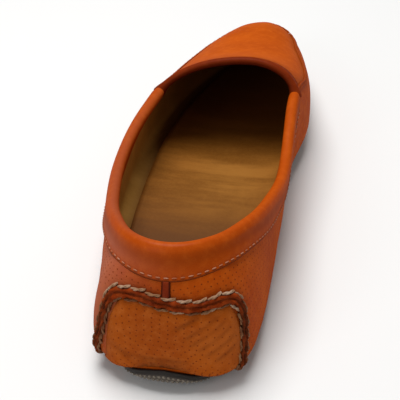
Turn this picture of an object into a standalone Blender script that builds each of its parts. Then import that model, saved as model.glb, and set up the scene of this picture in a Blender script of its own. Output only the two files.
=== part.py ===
"""Driving loafer, left shoe, standing empty on its rubber pads.

Design axes in mm: +y from the back of the heel to the toe, +x to the inner side of the foot, +z up
from the floor. A place on the upper is (u, t). u runs round the foot: 0 at the back of the heel,
1 at the toe tip, above 0 on the inner side and below 0 on the outer side. t runs up a rib:
0 under the foot, 0.5 on the widest line, 1 on the crown.
"""
import math

import bmesh
import bpy
import numpy as np

# Main sizes
MM = 0.001
LENGTH = 280.0
BALL_WIDTH = 88.0
HEEL_WIDTH = 70.0
WALL = 2.0
CLEARANCE = 0.3
WELD = 0.0001

# Fans of ribs at the heel and the toe, with parallel ribs between them
HEEL_CENTRE = 0.107
TOE_CENTRE = 0.84
HEEL_FAN = 0.2
TOE_FAN = 0.8
CORNER = 0.58

# Plan outline at the widest line
OUTLINE = [  # landmark, share of length, share of width, width
    ("heel back", 0.000, 0.00, HEEL_WIDTH),
    ("heel inner turn", 0.011, 0.32, HEEL_WIDTH),
    ("heel inner corner", 0.045, 0.475, HEEL_WIDTH),
    ("heel inner side", 0.107, 0.53, HEEL_WIDTH),
    ("waist inner side", 0.360, 0.435, BALL_WIDTH),
    ("joint inner side", 0.540, 0.43, BALL_WIDTH),
    ("ball inner side", 0.700, 0.49, BALL_WIDTH),
    ("toe inner side", 0.885, 0.40, BALL_WIDTH),
    ("toe inner turn", 0.970, 0.27, BALL_WIDTH),
    ("toe tip", 1.000, 0.14, BALL_WIDTH),
    ("toe outer turn", 0.975, -0.06, BALL_WIDTH),
    ("toe outer side", 0.880, -0.255, BALL_WIDTH),
    ("ball outer side", 0.660, -0.485, BALL_WIDTH),
    ("waist outer side", 0.380, -0.515, BALL_WIDTH),
    ("heel outer side", 0.107, -0.51, HEEL_WIDTH),
    ("heel outer corner", 0.045, -0.475, HEEL_WIDTH),
    ("heel outer turn", 0.011, -0.325, HEEL_WIDTH),
]
OUTLINE_STEPS = 16

# Side profile
PROFILE = [  # share of length, underside, widest line, crown, squareness below, squareness above
    (0.000, 5.0, 13.0, 79.0, 3.2, 2.2),
    (0.107, 5.0, 14.0, 79.0, 3.4, 2.2),
    (0.360, 7.0, 18.0, 88.0, 3.4, 2.15),
    (0.560, 6.0, 19.0, 69.0, 3.4, 1.8),
    (0.610, 5.5, 18.5, 66.0, 3.4, 1.8),
    (0.720, 5.0, 18.0, 55.0, 3.4, 2.0),
    (0.840, 6.0, 17.5, 48.5, 3.2, 2.2),
    (0.940, 9.0, 18.5, 46.0, 3.0, 2.3),
    (1.000, 12.0, 20.5, 43.0, 2.8, 2.3),
]
SPINE = [  # place u, sideways shift of the crown, forward bow of the crown
    (0.00, 0.0, 0.0),
    (0.20, 0.0, 0.0),
    (0.58, 12.0, 15.0),
    (0.70, 10.0, 5.0),
    (0.80, 8.0, 0.0),
    (1.00, 8.0, 0.0),
]
EDGE = [  # place u, height of the collar edge, then of the apron seam: outer side, inner side
    (0.00, 67.0, 67.0),
    (0.10, 66.4, 66.7),
    (0.20, 61.4, 63.0),
    (0.32, 46.5, 50.5),
    (0.43, 41.5, 41.5),
    (0.58, 47.5, 50.5),
    (0.67, 41.0, 44.0),
    (0.80, 36.0, 39.5),
    (1.00, 34.0, 34.0),
]
PINCH = [  # place u, share by which the ribs draw in towards the crown
    (-0.80, 0.00),
    (-0.68, -0.12),
    (-0.58, -0.26),
    (-0.43, -0.16),
    (-0.32, -0.02),
    (-0.26, -0.02),
    (-0.20, 0.15),
    (-0.15, 0.32),
    (-0.10, 0.27),
    (-0.05, 0.17),
    (0.00, 0.10),
    (0.05, 0.17),
    (0.10, 0.28),
    (0.15, 0.32),
    (0.20, 0.155),
    (0.26, -0.06),
    (0.32, -0.12),
    (0.43, -0.62),
    (0.58, -0.85),
    (0.70, -0.40),
    (0.80, 0.00),
]

# Faces of the upper
RIB_SPANS = [(0.0, HEEL_FAN, 12), (HEEL_FAN, CORNER, 9), (CORNER, TOE_FAN, 7), (TOE_FAN, 1.0, 9)]
SIDE_ROWS = 15
VAMP_ROWS = 9
FINE = 160

# Padded collar
COLLAR_FACING = 8.0
COLLAR_CLEARANCE = 0.4
COLLAR_PAD = 1.5
COLLAR_END = 0.572
COLLAR_END_GAP = 0.01
COLLAR_BAND = [  # place u, width of the band
    (0.00, 13.0),
    (0.10, 11.0),
    (0.20, 10.0),
    (0.40, 8.5),
    (CORNER, 7.0),
]
COLLAR_FALL = [(1.0, 0.9), (0.55, 1.2), (0.2, 1.5)]  # share of the band, thickness of the leather
ROLL_STEPS = 4

# Rolled throat edge
THROAT_START = 4.4
THROAT_CLEARANCE = 0.5
THROAT_LEATHER = 0.8
THROAT_FALL = [(-3.5, 0.4), (-1.5, 0.7)]  # walk forward on the vamp, thickness
THROAT_FACING = 4.0

# Raised seams
RIDGE = [(-0.5, 0.0), (-0.5, 0.5), (-0.25, 0.95), (0.0, 0.8), (0.25, 0.95), (0.5, 0.5), (0.5, 0.0)]
APRON_SEAM_WIDTH = 3.4
APRON_SEAM_HEIGHT = 1.2
APRON_SEAM_START = 0.592
APRON_SEAM_STEPS = 36
HEEL_SEAM_WIDTH = 4.6
HEEL_SEAM_HEIGHT = 2.0
HEEL_SEAM_STEPS = 38
HEEL_SEAM_OUTER = [  # landmark, place u, height
    ("foot", -0.130, 8.5),
    ("side", -0.114, 25.0),
    ("shoulder", -0.107, 40.0),
]
HEEL_SEAM_TOP = [
    ("outer corner", -0.093, 46.0),
    ("outer run", -0.053, 48.0),
    ("dip", 0.005, 46.0),
    ("inner run", 0.060, 45.0),
    ("inner bend", 0.105, 45.8),
    ("inner corner", 0.132, 43.5),
]
HEEL_SEAM_INNER = [
    ("shoulder", 0.141, 36.5),
    ("side", 0.134, 22.0),
    ("foot", 0.128, 8.5),
]
HEEL_SEAM = HEEL_SEAM_OUTER + HEEL_SEAM_TOP + HEEL_SEAM_INNER

# Heel patch and back strap
PATCH_LEATHER = 0.9
PATCH_GAP = 0.9
PATCH_COLUMNS = 14
PATCH_ROWS = 8
PATCH_FOOT = [  # place u, height of its lower edge
    (0.00, 14.5),
    (0.04, 13.0),
    (0.08, 10.0),
    (0.14, 8.0),
]
STRAP_WIDTH = 4.0
STRAP_PLACE = 0.008
STRAP_LEATHER = 0.9
STRAP_GAP = 0.7
STRAP_COLUMNS = 3
STRAP_ROWS = 2

# Insole
INSOLE_LEATHER = 2.5
INSOLE_CLEARANCE = 0.7
INSOLE_REACH = 0.27
INSOLE_ROWS = 5

# Rubber pads
PAD_CLEARANCE = 0.4
PAD_ROWS = (0.0, 0.35, 0.58, 0.70, 0.79, 0.86)
PAD_CENTRE = 6.4
PAD_BLOCK_RIM = 2.2
PAD_FLANGE = 1.0
PAD_BLOCK = 0.92
PAD_STEP = 0.005
PAD_CURVE = 1.3
PAD_END_PLACES = (0.004, 0.014, 0.03)
HEEL_PAD = [  # place u, place t of its rim
    (0.000, 0.45),
    (0.040, 0.42),
    (0.080, 0.33),
    (0.130, 0.245),
    (0.200, 0.235),
    (0.280, 0.22),
    (0.325, 0.15),
    (0.345, 0.00),
]
FOREFOOT_PAD = [
    (0.500, 0.00),
    (0.520, 0.16),
    (0.570, 0.25),
    (0.700, 0.29),
    (0.800, 0.29),
    (0.900, 0.29),
    (1.000, 0.30),
]

# Small steps for slopes on the last
STEP_U = 0.002
STEP_T = 0.004
POLE = 0.02

COLOURS = {
    "orange_leather": (0.42, 0.11, 0.025, 1.0),
    "dark_leather": (0.20, 0.04, 0.015, 1.0),
    "seam_leather": (0.30, 0.08, 0.03, 1.0),
    "insole_leather": (0.30, 0.17, 0.07, 1.0),
    "pad_rubber": (0.06, 0.05, 0.04, 1.0),
}


def smooth(rows, column, at):
    """One column of a table, read between its rows by a cubic that doesn't overshoot."""
    knots = np.array([row[0] for row in rows])
    values = np.array([row[column] for row in rows])
    step = np.diff(knots)
    slope = np.diff(values) / step
    total = slope[:-1] + slope[1:]
    even_sign = slope[:-1] * slope[1:] > 0
    inner = np.where(even_sign, 2 * slope[:-1] * slope[1:] / np.where(even_sign, total, 1), 0)
    tangent = np.concatenate([[slope[0]], inner, [slope[-1]]])
    at = np.clip(at, knots[0], knots[-1])
    i = np.clip(np.searchsorted(knots, at, side="right") - 1, 0, len(step) - 1)
    f = (at - knots[i]) / step[i]
    swell = f * (1 - f) * step[i] * ((1 - f) * (tangent[i] - slope[i]) - f * (tangent[i + 1] - slope[i]))
    return values[i] + f * (values[i + 1] - values[i]) + swell


def closed_curve(points):
    """Closed centripetal curve through the points of the outline."""
    p = np.array(points)
    spans = []
    for i in range(len(p)):
        a, b, c, d = (p[(i + k) % len(p)] for k in (-1, 0, 1, 2))
        gaps = [math.sqrt(np.linalg.norm(q - r)) for q, r in ((b, a), (c, b), (d, c))]
        k0, k1, k2, k3 = np.concatenate([[0.0], np.cumsum(gaps)])
        s = np.linspace(k1, k2, OUTLINE_STEPS, endpoint=False)[:, None]
        ab = ((k1 - s) * a + (s - k0) * b) / (k1 - k0)
        bc = ((k2 - s) * b + (s - k1) * c) / (k2 - k1)
        cd = ((k3 - s) * c + (s - k2) * d) / (k3 - k2)
        abc = ((k2 - s) * ab + (s - k0) * bc) / (k2 - k0)
        bcd = ((k3 - s) * bc + (s - k1) * cd) / (k3 - k1)
        spans.append(((k2 - s) * abc + (s - k1) * bcd) / (k2 - k1))
    return np.concatenate(spans)


OUTLINE_CURVE = closed_curve([(x * width, y * LENGTH) for _, y, x, width in OUTLINE])


def rib(u):
    """Foot of the rib at u on the spine, and its outward direction, both in plan."""
    s = np.abs(u)
    side = np.where(u < 0, -1.0, 1.0)
    along = np.clip((s - HEEL_FAN) / (TOE_FAN - HEEL_FAN), 0, 1)
    turn = np.clip(s / HEEL_FAN, 0, 1) + np.clip((s - TOE_FAN) / (1 - TOE_FAN), 0, 1)
    y = LENGTH * (HEEL_CENTRE + along * (TOE_CENTRE - HEEL_CENTRE))
    direction = np.stack([side * np.sin(turn * math.pi / 2), -np.cos(turn * math.pi / 2)], -1)
    return np.stack([smooth(SPINE, 1, s), y], -1), direction


def reach(u):
    """Length of the rib at u, from the spine to the outline."""
    origin, d = rib(u)
    span = np.roll(OUTLINE_CURVE, -1, 0) - OUTLINE_CURVE
    to = OUTLINE_CURVE - origin[..., None, :]
    dx, dy = d[..., None, 0], d[..., None, 1]
    cross = dx * span[:, 1] - dy * span[:, 0]
    cross = np.where(np.abs(cross) < 1e-9, 1e-9, cross)
    length = (to[..., 0] * span[:, 1] - to[..., 1] * span[:, 0]) / cross
    share = (to[..., 0] * dy - to[..., 1] * dx) / cross
    hit = (share > -1e-6) & (share < 1 + 1e-6) & (length > 0)
    return np.where(hit, length, np.inf).min(-1)


REACH_PLACES = np.linspace(-1, 1, 1201)
REACH = reach(REACH_PLACES)


def surface(u, t):
    """Outer face of the upper at (u, t)."""
    u = (np.asarray(u, float) + 1) % 2 - 1
    t = np.asarray(t, float)
    origin, d = rib(u)
    length = np.interp(u, REACH_PLACES, REACH)
    under = t < 0.5
    angle = np.where(under, t, 1 - t) * math.pi
    at = origin[..., 1] / LENGTH
    power = np.where(under, smooth(PROFILE, 4, at), smooth(PROFILE, 5, at))
    out = np.sin(angle) ** (2 / power)
    rise = np.maximum(np.cos(angle), 0) ** (2 / power)
    bow = np.where(under, 0, smooth(SPINE, 2, np.abs(u)) * (1 - out ** 2))
    length = length * np.where(under, 1, 1 - smooth(PINCH, 1, u) * rise ** 2)
    x = origin[..., 0] + d[..., 0] * length * out
    y = origin[..., 1] + d[..., 1] * length * out + bow
    low, wide, crown = (smooth(PROFILE, column, y / LENGTH) for column in (1, 2, 3))
    z = np.where(under, wide - (wide - low) * rise, wide + (crown - wide) * rise)
    return np.stack([x, y, z], -1)


def unit(v):
    return v / np.linalg.norm(v, axis=-1, keepdims=True)


def slopes(u, t):
    """Change of the surface with u and with t."""
    by_u = (surface(u + STEP_U, t) - surface(u - STEP_U, t)) / (2 * STEP_U)
    by_t = (surface(u, t + STEP_T) - surface(u, t - STEP_T)) / (2 * STEP_T)
    return by_u, by_t


def normal(u, t):
    """Outward normal; straight down or up on the centre lines, where ribs meet."""
    u, t = np.broadcast_arrays(np.asarray(u, float), np.asarray(t, float))
    by_u, by_t = slopes(u, np.clip(t, POLE, 1 - POLE))
    n = unit(np.cross(by_u, by_t))
    down = np.array([0.0, 0.0, -1.0])
    n = np.where((t < POLE)[..., None], down, n)
    return np.where((t > 1 - POLE)[..., None], -down, n)


def skin(u, t, lift):
    """Point a given lift outside the upper's outer face."""
    return surface(u, t) + normal(u, t) * np.asarray(lift, float)[..., None]


def at_height(u, height):
    """Place t on the rib at u where the surface has a given height."""
    u, height = np.broadcast_arrays(np.asarray(u, float), np.asarray(height, float))
    low = np.zeros(u.shape)
    high = np.ones(u.shape)
    for _ in range(40):
        middle = (low + high) / 2
        below = surface(u, middle)[..., 2] < height
        low = np.where(below, middle, low)
        high = np.where(below, high, middle)
    return (low + high) / 2


def edge(u):
    """Place t of the collar edge, and of the apron seam ahead of the throat corner."""
    height = np.where(np.asarray(u) < 0, smooth(EDGE, 1, np.abs(u)), smooth(EDGE, 2, np.abs(u)))
    return at_height(u, height)


def even(u, start, end, count):
    """Places on the rib at u from one to another, an equal length of leather apart."""
    t = np.linspace(start, end, FINE)
    walk = np.concatenate([[0], np.cumsum(np.linalg.norm(np.diff(surface(u, t), axis=0), axis=1))])
    return np.interp(np.linspace(0, walk[-1], count), walk, t)


def slide(u, t, offset):
    """Place reached from (u, t) by a short walk along the face."""
    matrix = np.stack(slopes(u, t), -1)
    change = (np.linalg.pinv(matrix) @ np.asarray(offset, float)[..., None])[..., 0]
    return u + change[..., 0], t + change[..., 1]


def loft(sections, looped=False, capped=False):
    """Points and faces between sections; a short section is joined along its first points only."""
    starts = np.cumsum([0] + [len(section) for section in sections])
    faces = []
    for i in range(len(sections) - 1):
        count = min(len(sections[i]), len(sections[i + 1]))
        for k in range(count if looped else count - 1):
            n = (k + 1) % count
            faces.append((starts[i] + k, starts[i] + n, starts[i + 1] + n, starts[i + 1] + k))
    if capped:
        faces.append(tuple(range(starts[0], starts[1])))
        faces.append(tuple(range(starts[-2], starts[-1])))
    return np.concatenate(sections), [tuple(int(i) for i in face) for face in faces]


def slab(inner, outer, rims):
    """Points and faces of a sheet between two grids, closed at the named rims."""
    rows, columns = inner.shape[:2]
    index = np.arange(rows * columns).reshape(rows, columns)
    layers = (index, index + rows * columns)
    every = slice(None)
    lines = {"start": (0, every), "end": (-1, every), "foot": (every, 0), "top": (every, -1)}
    faces = []
    for layer in layers:
        for i in range(rows - 1):
            for k in range(columns - 1):
                faces.append((layer[i, k], layer[i, k + 1], layer[i + 1, k + 1], layer[i + 1, k]))
    for rim in rims:
        a, b = (layer[lines[rim]] for layer in layers)
        for k in range(len(a) - 1):
            faces.append((a[k], a[k + 1], b[k + 1], b[k]))
    points = np.concatenate([inner.reshape(-1, 3), outer.reshape(-1, 3)])
    return points, [tuple(int(i) for i in face) for face in faces]


def ring(spans):
    """Places u all round the foot: toe tip, outer side, heel, inner side, toe tip."""
    half = np.unique(np.concatenate([np.linspace(a, b, n + 1) for a, b, n in spans]).round(6))
    return np.concatenate([-half[::-1], half[1:]])


def upper_form():
    """Vamp, sides and underfoot as one open face, ready for its wall."""
    sections = []
    for u in ring(RIB_SPANS):
        brim = float(edge(u))
        places = even(u, 0.0, brim, SIDE_ROWS + 1)
        if abs(u) >= CORNER - 1e-6:
            places = np.concatenate([places, even(u, brim, 1.0, VAMP_ROWS + 1)[1:]])
        sections.append(surface(u, places))
    return loft(sections)


def collar_form():
    """Cuff that straddles the collar edge, a closed section at each rib."""
    places = ring(RIB_SPANS)
    places = places[np.abs(places) < COLLAR_END - COLLAR_END_GAP]
    sections = []
    for u in np.concatenate([[-COLLAR_END], places, [COLLAR_END]]):
        brim = float(edge(u))
        rim, out = surface(u, brim), normal(u, brim)
        _, climb = slopes(u, brim)
        up = unit(climb)
        band = float(smooth(COLLAR_BAND, 1, abs(u)))
        points = []
        for share, leather in COLLAR_FALL:
            points.append(skin(*slide(u, brim, -up * band * share), COLLAR_CLEARANCE + leather))
        radius = WALL / 2 + COLLAR_CLEARANCE + COLLAR_PAD
        for angle in np.linspace(0, math.pi, ROLL_STEPS + 1):
            across = math.cos(angle) * radius - WALL / 2
            points.append(rim + out * across + up * math.sin(angle) * radius)
        inside = -(WALL + COLLAR_CLEARANCE)
        facing = slide(u, brim, -up * COLLAR_FACING)
        points.append(skin(*facing, inside - COLLAR_PAD / 2))
        points.append(skin(*facing, inside))
        points.append(rim + out * inside + up * COLLAR_CLEARANCE)
        points.append(rim + out * COLLAR_CLEARANCE + up * COLLAR_CLEARANCE)
        for share in (0.5, 1.0):
            points.append(skin(*slide(u, brim, -up * band * share), COLLAR_CLEARANCE))
        sections.append(np.array(points))
    return loft(sections, looped=True, capped=True)


def throat_form():
    """Rolled edge of the vamp across the throat, from corner to corner."""
    radius = WALL / 2 + THROAT_CLEARANCE + THROAT_LEATHER
    inside = -(WALL + THROAT_CLEARANCE)
    hem = THROAT_FALL[0][0]
    section = list(THROAT_FALL)
    for angle in np.linspace(math.pi / 2, -math.pi / 2, ROLL_STEPS + 1):
        section.append((math.cos(angle) * radius, math.sin(angle) * radius - WALL / 2 - THROAT_CLEARANCE))
    section.append((-THROAT_FACING, inside - THROAT_LEATHER - THROAT_CLEARANCE))
    for back_walk, lift in ((-THROAT_FACING, inside), (THROAT_CLEARANCE, inside),
                            (THROAT_CLEARANCE, THROAT_CLEARANCE), (hem, THROAT_CLEARANCE)):
        section.append((back_walk, lift - THROAT_CLEARANCE))
    sections = []
    for side in (-1, 1):
        u = side * CORNER
        brim = float(edge(u))
        places = np.linspace(brim, 1.0, FINE)
        walk = np.cumsum(np.linalg.norm(np.diff(surface(u, places), axis=0), axis=1))
        start = float(np.interp(THROAT_START, walk, places[1:]))
        vamp_rows = even(u, brim, 1.0, VAMP_ROWS + 1)
        half = []
        for t in np.concatenate([[start], vamp_rows[vamp_rows > start + POLE]]):
            by_u, by_t = slopes(u, min(t, 1 - POLE))
            out = unit(np.cross(by_u, by_t))
            back = -side * unit(np.cross(by_t, out))
            if t > 1 - POLE:
                out = unit(out * np.array([0.0, 1.0, 1.0]))
                back = np.array([0.0, -out[2], out[1]])
            half.append(np.array([surface(u, t) + back * along + out * (THROAT_CLEARANCE + lift)
                                  for along, lift in section]))
        sections += half if side < 0 else half[-2::-1]
    return loft(sections, looped=True, capped=True)


def ridge_form(us, ts, width, height):
    """Raised seam along a path on the upper."""
    path = surface(us, ts)
    run = unit(np.gradient(path, axis=0))
    aside = np.cross(normal(us, ts), run)
    sections = []
    for u, t, across in zip(us, ts, aside):
        points = [skin(*slide(u, t, across * width * w), CLEARANCE + height * h) for w, h in RIDGE]
        sections.append(np.array(points))
    return loft(sections, looped=True, capped=True)


def apron_seam_form():
    us = np.linspace(APRON_SEAM_START, 2 - APRON_SEAM_START, APRON_SEAM_STEPS + 1)
    us = (us + 1) % 2 - 1
    return ridge_form(us, edge(us), APRON_SEAM_WIDTH, APRON_SEAM_HEIGHT)


def heel_seam_path(count):
    """Places along the heel seam, evenly spaced."""
    rows = [(i, u, z) for i, (_, u, z) in enumerate(HEEL_SEAM)]
    at = np.linspace(0, len(rows) - 1, FINE)
    us = smooth(rows, 1, at)
    ts = at_height(us, smooth(rows, 2, at))
    walk = np.concatenate([[0], np.cumsum(np.linalg.norm(np.diff(surface(us, ts), axis=0), axis=1))])
    even_walk = np.linspace(0, walk[-1], count)
    return np.interp(even_walk, walk, us), np.interp(even_walk, walk, ts)


def heel_patch_form():
    """Patch inside the heel seam, down to just above the rubber."""
    keep = HEEL_SEAM_WIDTH / 2 + PATCH_GAP
    keep_u = keep * HEEL_FAN / (math.pi / 2 * HEEL_CENTRE * LENGTH)
    path_u, path_t = heel_seam_path(FINE)
    path_z = surface(path_u, path_t)[:, 2]
    first = int(np.argmax(path_u >= HEEL_SEAM_TOP[0][1]))
    last = int(np.argmax(path_u >= HEEL_SEAM_TOP[-1][1]))
    us = np.zeros((PATCH_COLUMNS + 1, PATCH_ROWS + 1))
    ts = np.zeros_like(us)
    for k, v in enumerate(np.linspace(0, 1, PATCH_ROWS + 1)):
        height = path_z[0] + v * (path_z[first] - path_z[0])
        outer = np.interp(height, path_z[:first + 1], path_u[:first + 1])
        height = path_z[-1] + v * (path_z[last] - path_z[-1])
        inner = np.interp(height, path_z[:last - 1:-1], path_u[:last - 1:-1])
        us[:, k] = np.linspace(outer + keep_u, inner - keep_u, PATCH_COLUMNS + 1)
        foot = at_height(us[:, k], smooth(PATCH_FOOT, 1, np.abs(us[:, k])))
        top_z = np.interp(us[:, k], path_u[first:last + 1], path_z[first:last + 1])
        head = at_height(us[:, k], top_z - keep)
        ts[:, k] = foot + v * (head - foot)
    low = np.full(us.shape, CLEARANCE)
    return slab(skin(us, ts, low), skin(us, ts, low + PATCH_LEATHER), ("start", "end", "foot", "top"))


def back_strap_form():
    """Short strap from the collar's hem down to the heel seam."""
    half = STRAP_WIDTH / 2 / HEEL_CENTRE / LENGTH * HEEL_FAN / (math.pi / 2)
    hem = float(smooth(EDGE, 1, 0.0)) - float(smooth(COLLAR_BAND, 1, 0.0)) - CLEARANCE
    dip = HEEL_SEAM_TOP[2][2]
    foot = dip + HEEL_SEAM_WIDTH / 2 + STRAP_GAP
    columns = STRAP_PLACE + np.linspace(-half, half, STRAP_COLUMNS + 1)
    us = np.repeat(columns[:, None], STRAP_ROWS + 1, 1)
    ts = at_height(us, np.linspace(foot, hem, STRAP_ROWS + 1)[None, :])
    low = np.full(us.shape, CLEARANCE)
    return slab(skin(us, ts, low), skin(us, ts, low + STRAP_LEATHER), ("start", "end", "foot", "top"))


def insole_form():
    """Footbed sheet over the inside of the sole leather."""
    us = ring(RIB_SPANS)[::2]
    us = np.repeat(np.concatenate([us, [1.0]])[:, None], INSOLE_ROWS + 1, 1)
    ts = np.array([even(u, 0.0, INSOLE_REACH, INSOLE_ROWS + 1) for u in us[:, 0]])
    low = np.full(us.shape, -(WALL + INSOLE_CLEARANCE))
    return slab(skin(us, ts, low), skin(us, ts, low - INSOLE_LEATHER), ("top",))


def pad_form(us, reach_t):
    """Rubber pad under the foot: a thin flange and a thicker block, flat where it meets the floor."""
    shares = np.array(PAD_ROWS + (PAD_BLOCK, PAD_BLOCK + PAD_STEP, 1.0))
    thin = np.minimum(shares / PAD_BLOCK, 1) ** PAD_CURVE
    depth = PAD_CENTRE + (PAD_BLOCK_RIM - PAD_CENTRE) * thin
    depth[-2:] = PAD_FLANGE
    ts = np.array([np.interp(shares, [0, 1], [0, r]) for r in reach_t])
    us = np.repeat(us[:, None], ts.shape[1], 1)
    inner = skin(us, ts, np.full(us.shape, PAD_CLEARANCE))
    outer = skin(us, ts, PAD_CLEARANCE + depth[None, :] + np.zeros(us.shape))
    outer[..., 2] = np.maximum(outer[..., 2], 0.0)
    return slab(inner, outer, ("top",))


def heel_pad_form():
    """Heel pad, which wraps a little way up the back of the heel."""
    end = HEEL_PAD[-1][0]
    ribs = ring(RIB_SPANS)
    ribs = ribs[np.abs(ribs) < end - PAD_END_PLACES[-1]]
    tip = end - np.array((0.0,) + PAD_END_PLACES)
    us = np.concatenate([-tip, ribs, tip[::-1]])
    return pad_form(us, smooth(HEEL_PAD, 1, np.abs(us)))


def forefoot_pad_form():
    """Forefoot pad, from behind the ball to the toe."""
    end = FOREFOOT_PAD[0][0]
    half = ring(RIB_SPANS)
    half = half[half > end + PAD_END_PLACES[-1]]
    half = np.concatenate([end + np.array((0.0,) + PAD_END_PLACES), half])
    us = np.concatenate([half, -half[-2::-1]])
    return pad_form(us, smooth(FOREFOOT_PAD, 1, np.abs(us)))


def principled(name):
    material = bpy.data.materials.new(name)
    material.use_nodes = True
    shader = material.node_tree.nodes["Principled BSDF"]
    shader.inputs["Base Color"].default_value = COLOURS[name]
    shader.inputs["Roughness"].default_value = 0.6
    material.diffuse_color = COLOURS[name]
    return material


def solid(name, form, material, home, shift):
    """Named object from points and faces, welded, with its faces turned outward."""
    points, faces = form
    mesh = bpy.data.meshes.new(name)
    mesh.from_pydata([tuple(p) for p in (points + shift) * MM], [], faces)
    work = bmesh.new()
    work.from_mesh(mesh)
    bmesh.ops.remove_doubles(work, verts=work.verts, dist=WELD)
    bmesh.ops.dissolve_degenerate(work, edges=work.edges, dist=WELD / 10)
    bmesh.ops.recalc_face_normals(work, faces=work.faces)
    work.to_mesh(mesh)
    work.free()
    mesh.materials.append(principled(material))
    part = bpy.data.objects.new(name, mesh)
    home.objects.link(part)
    return part


def main():
    for old in list(bpy.data.objects):
        bpy.data.objects.remove(old, do_unlink=True)
    home = bpy.data.collections.new("driving_loafer")
    bpy.context.scene.collection.children.link(home)

    forms = {
        "upper": (upper_form(), "orange_leather"),
        "insole": (insole_form(), "insole_leather"),
        "heel_pad": (heel_pad_form(), "pad_rubber"),
        "forefoot_pad": (forefoot_pad_form(), "pad_rubber"),
        "collar": (collar_form(), "orange_leather"),
        "throat_binding": (throat_form(), "dark_leather"),
        "apron_seam": (apron_seam_form(), "seam_leather"),
        "heel_seam": (ridge_form(*heel_seam_path(HEEL_SEAM_STEPS + 1), HEEL_SEAM_WIDTH, HEEL_SEAM_HEIGHT),
                      "seam_leather"),
        "heel_patch": (heel_patch_form(), "orange_leather"),
        "back_strap": (back_strap_form(), "dark_leather"),
    }
    every = np.concatenate([form[0] for form, _ in forms.values()])
    middle = (every.min(0) + every.max(0)) / 2
    shift = np.array([-middle[0], -middle[1], -every[:, 2].min()])
    for name, (form, material) in forms.items():
        part = solid(name, form, material, home, shift)
        if name == "upper":
            wall = part.modifiers.new("wall", "SOLIDIFY")
            wall.thickness = WALL * MM
            wall.offset = -1.0
            wall.use_even_offset = True
    print("size mm", (every.max(0) - every.min(0)).round(2), "shift", shift.round(3))


main()
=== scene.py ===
# %% [markdown]
# # A driving loafer, dressed over its solids
# The shoe is a moccasin: one piece of soft leather comes up round the foot, a padded cuff finishes the
# mouth, a hand-sewn seam gathers the heel, and rubber pads under it take the floor.
# The solids fix where everything is. Each visible piece is drawn again here, finer, on the same last.

# %% Load the solids
import math

import bmesh
import bpy
import numpy as np
from mathutils import Matrix, Vector


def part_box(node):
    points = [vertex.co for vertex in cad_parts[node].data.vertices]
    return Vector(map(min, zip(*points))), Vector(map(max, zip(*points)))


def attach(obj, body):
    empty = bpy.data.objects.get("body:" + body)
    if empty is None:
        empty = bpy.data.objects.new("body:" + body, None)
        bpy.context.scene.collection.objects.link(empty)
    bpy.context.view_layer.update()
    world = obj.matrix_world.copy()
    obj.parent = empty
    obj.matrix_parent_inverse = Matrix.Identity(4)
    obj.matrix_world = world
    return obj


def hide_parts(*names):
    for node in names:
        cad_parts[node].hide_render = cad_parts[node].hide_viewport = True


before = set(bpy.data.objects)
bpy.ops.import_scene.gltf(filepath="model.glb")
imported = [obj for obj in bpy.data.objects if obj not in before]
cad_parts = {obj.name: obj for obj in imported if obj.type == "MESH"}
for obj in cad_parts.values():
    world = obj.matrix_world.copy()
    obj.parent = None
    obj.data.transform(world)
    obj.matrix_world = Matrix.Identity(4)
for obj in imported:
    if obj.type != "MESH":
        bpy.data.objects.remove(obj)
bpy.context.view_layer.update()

# %% [markdown]
# ## The last
# A shoemaker builds on a last, so the shape is kept as one function and every piece reads it.
# Its tables are short: the outline in plan, the side profile, and how far the ribs lean in. They are in
# millimetres, with +y to the toe, +x to the inner side of the foot and +z up, as for the solids.

# %% Tables of the last
MM = 0.001
HOME = np.array([1.594, -139.046, 0.0])  # from the tables' own origin, at the heel's back, to that of the solids
LENGTH, BALL_WIDTH, HEEL_WIDTH, WALL = 280.0, 88.0, 70.0, 2.0
HEEL_CENTRE, TOE_CENTRE, HEEL_FAN, TOE_FAN, CORNER = 0.107, 0.84, 0.2, 0.8, 0.58
OUTLINE = [  # share of length, share of width, width
    (0.000, 0.00, HEEL_WIDTH), (0.011, 0.32, HEEL_WIDTH), (0.045, 0.475, HEEL_WIDTH), (0.107, 0.53, HEEL_WIDTH),
    (0.360, 0.435, BALL_WIDTH), (0.540, 0.43, BALL_WIDTH), (0.700, 0.49, BALL_WIDTH), (0.885, 0.40, BALL_WIDTH),
    (0.970, 0.27, BALL_WIDTH), (1.000, 0.14, BALL_WIDTH), (0.975, -0.06, BALL_WIDTH), (0.880, -0.255, BALL_WIDTH),
    (0.660, -0.485, BALL_WIDTH), (0.380, -0.515, BALL_WIDTH), (0.107, -0.51, HEEL_WIDTH),
    (0.045, -0.475, HEEL_WIDTH), (0.011, -0.325, HEEL_WIDTH),
]
PROFILE = [  # share of length, underside, widest line, crown, squareness below, squareness above
    (0.000, 5.0, 13.0, 79.0, 3.2, 2.2), (0.107, 5.0, 14.0, 79.0, 3.4, 2.2), (0.360, 7.0, 18.0, 88.0, 3.4, 2.15),
    (0.560, 6.0, 19.0, 69.0, 3.4, 1.8), (0.610, 5.5, 18.5, 66.0, 3.4, 1.8), (0.720, 5.0, 18.0, 55.0, 3.4, 2.0),
    (0.840, 6.0, 17.5, 48.5, 3.2, 2.2), (0.940, 9.0, 18.5, 46.0, 3.0, 2.3), (1.000, 12.0, 20.5, 43.0, 2.8, 2.3),
]
SPINE = [  # place u, sideways shift of the crown, forward bow of the crown
    (0.00, 0.0, 0.0), (0.20, 0.0, 0.0), (0.58, 12.0, 15.0), (0.70, 10.0, 5.0), (0.80, 8.0, 0.0), (1.00, 8.0, 0.0),
]
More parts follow.
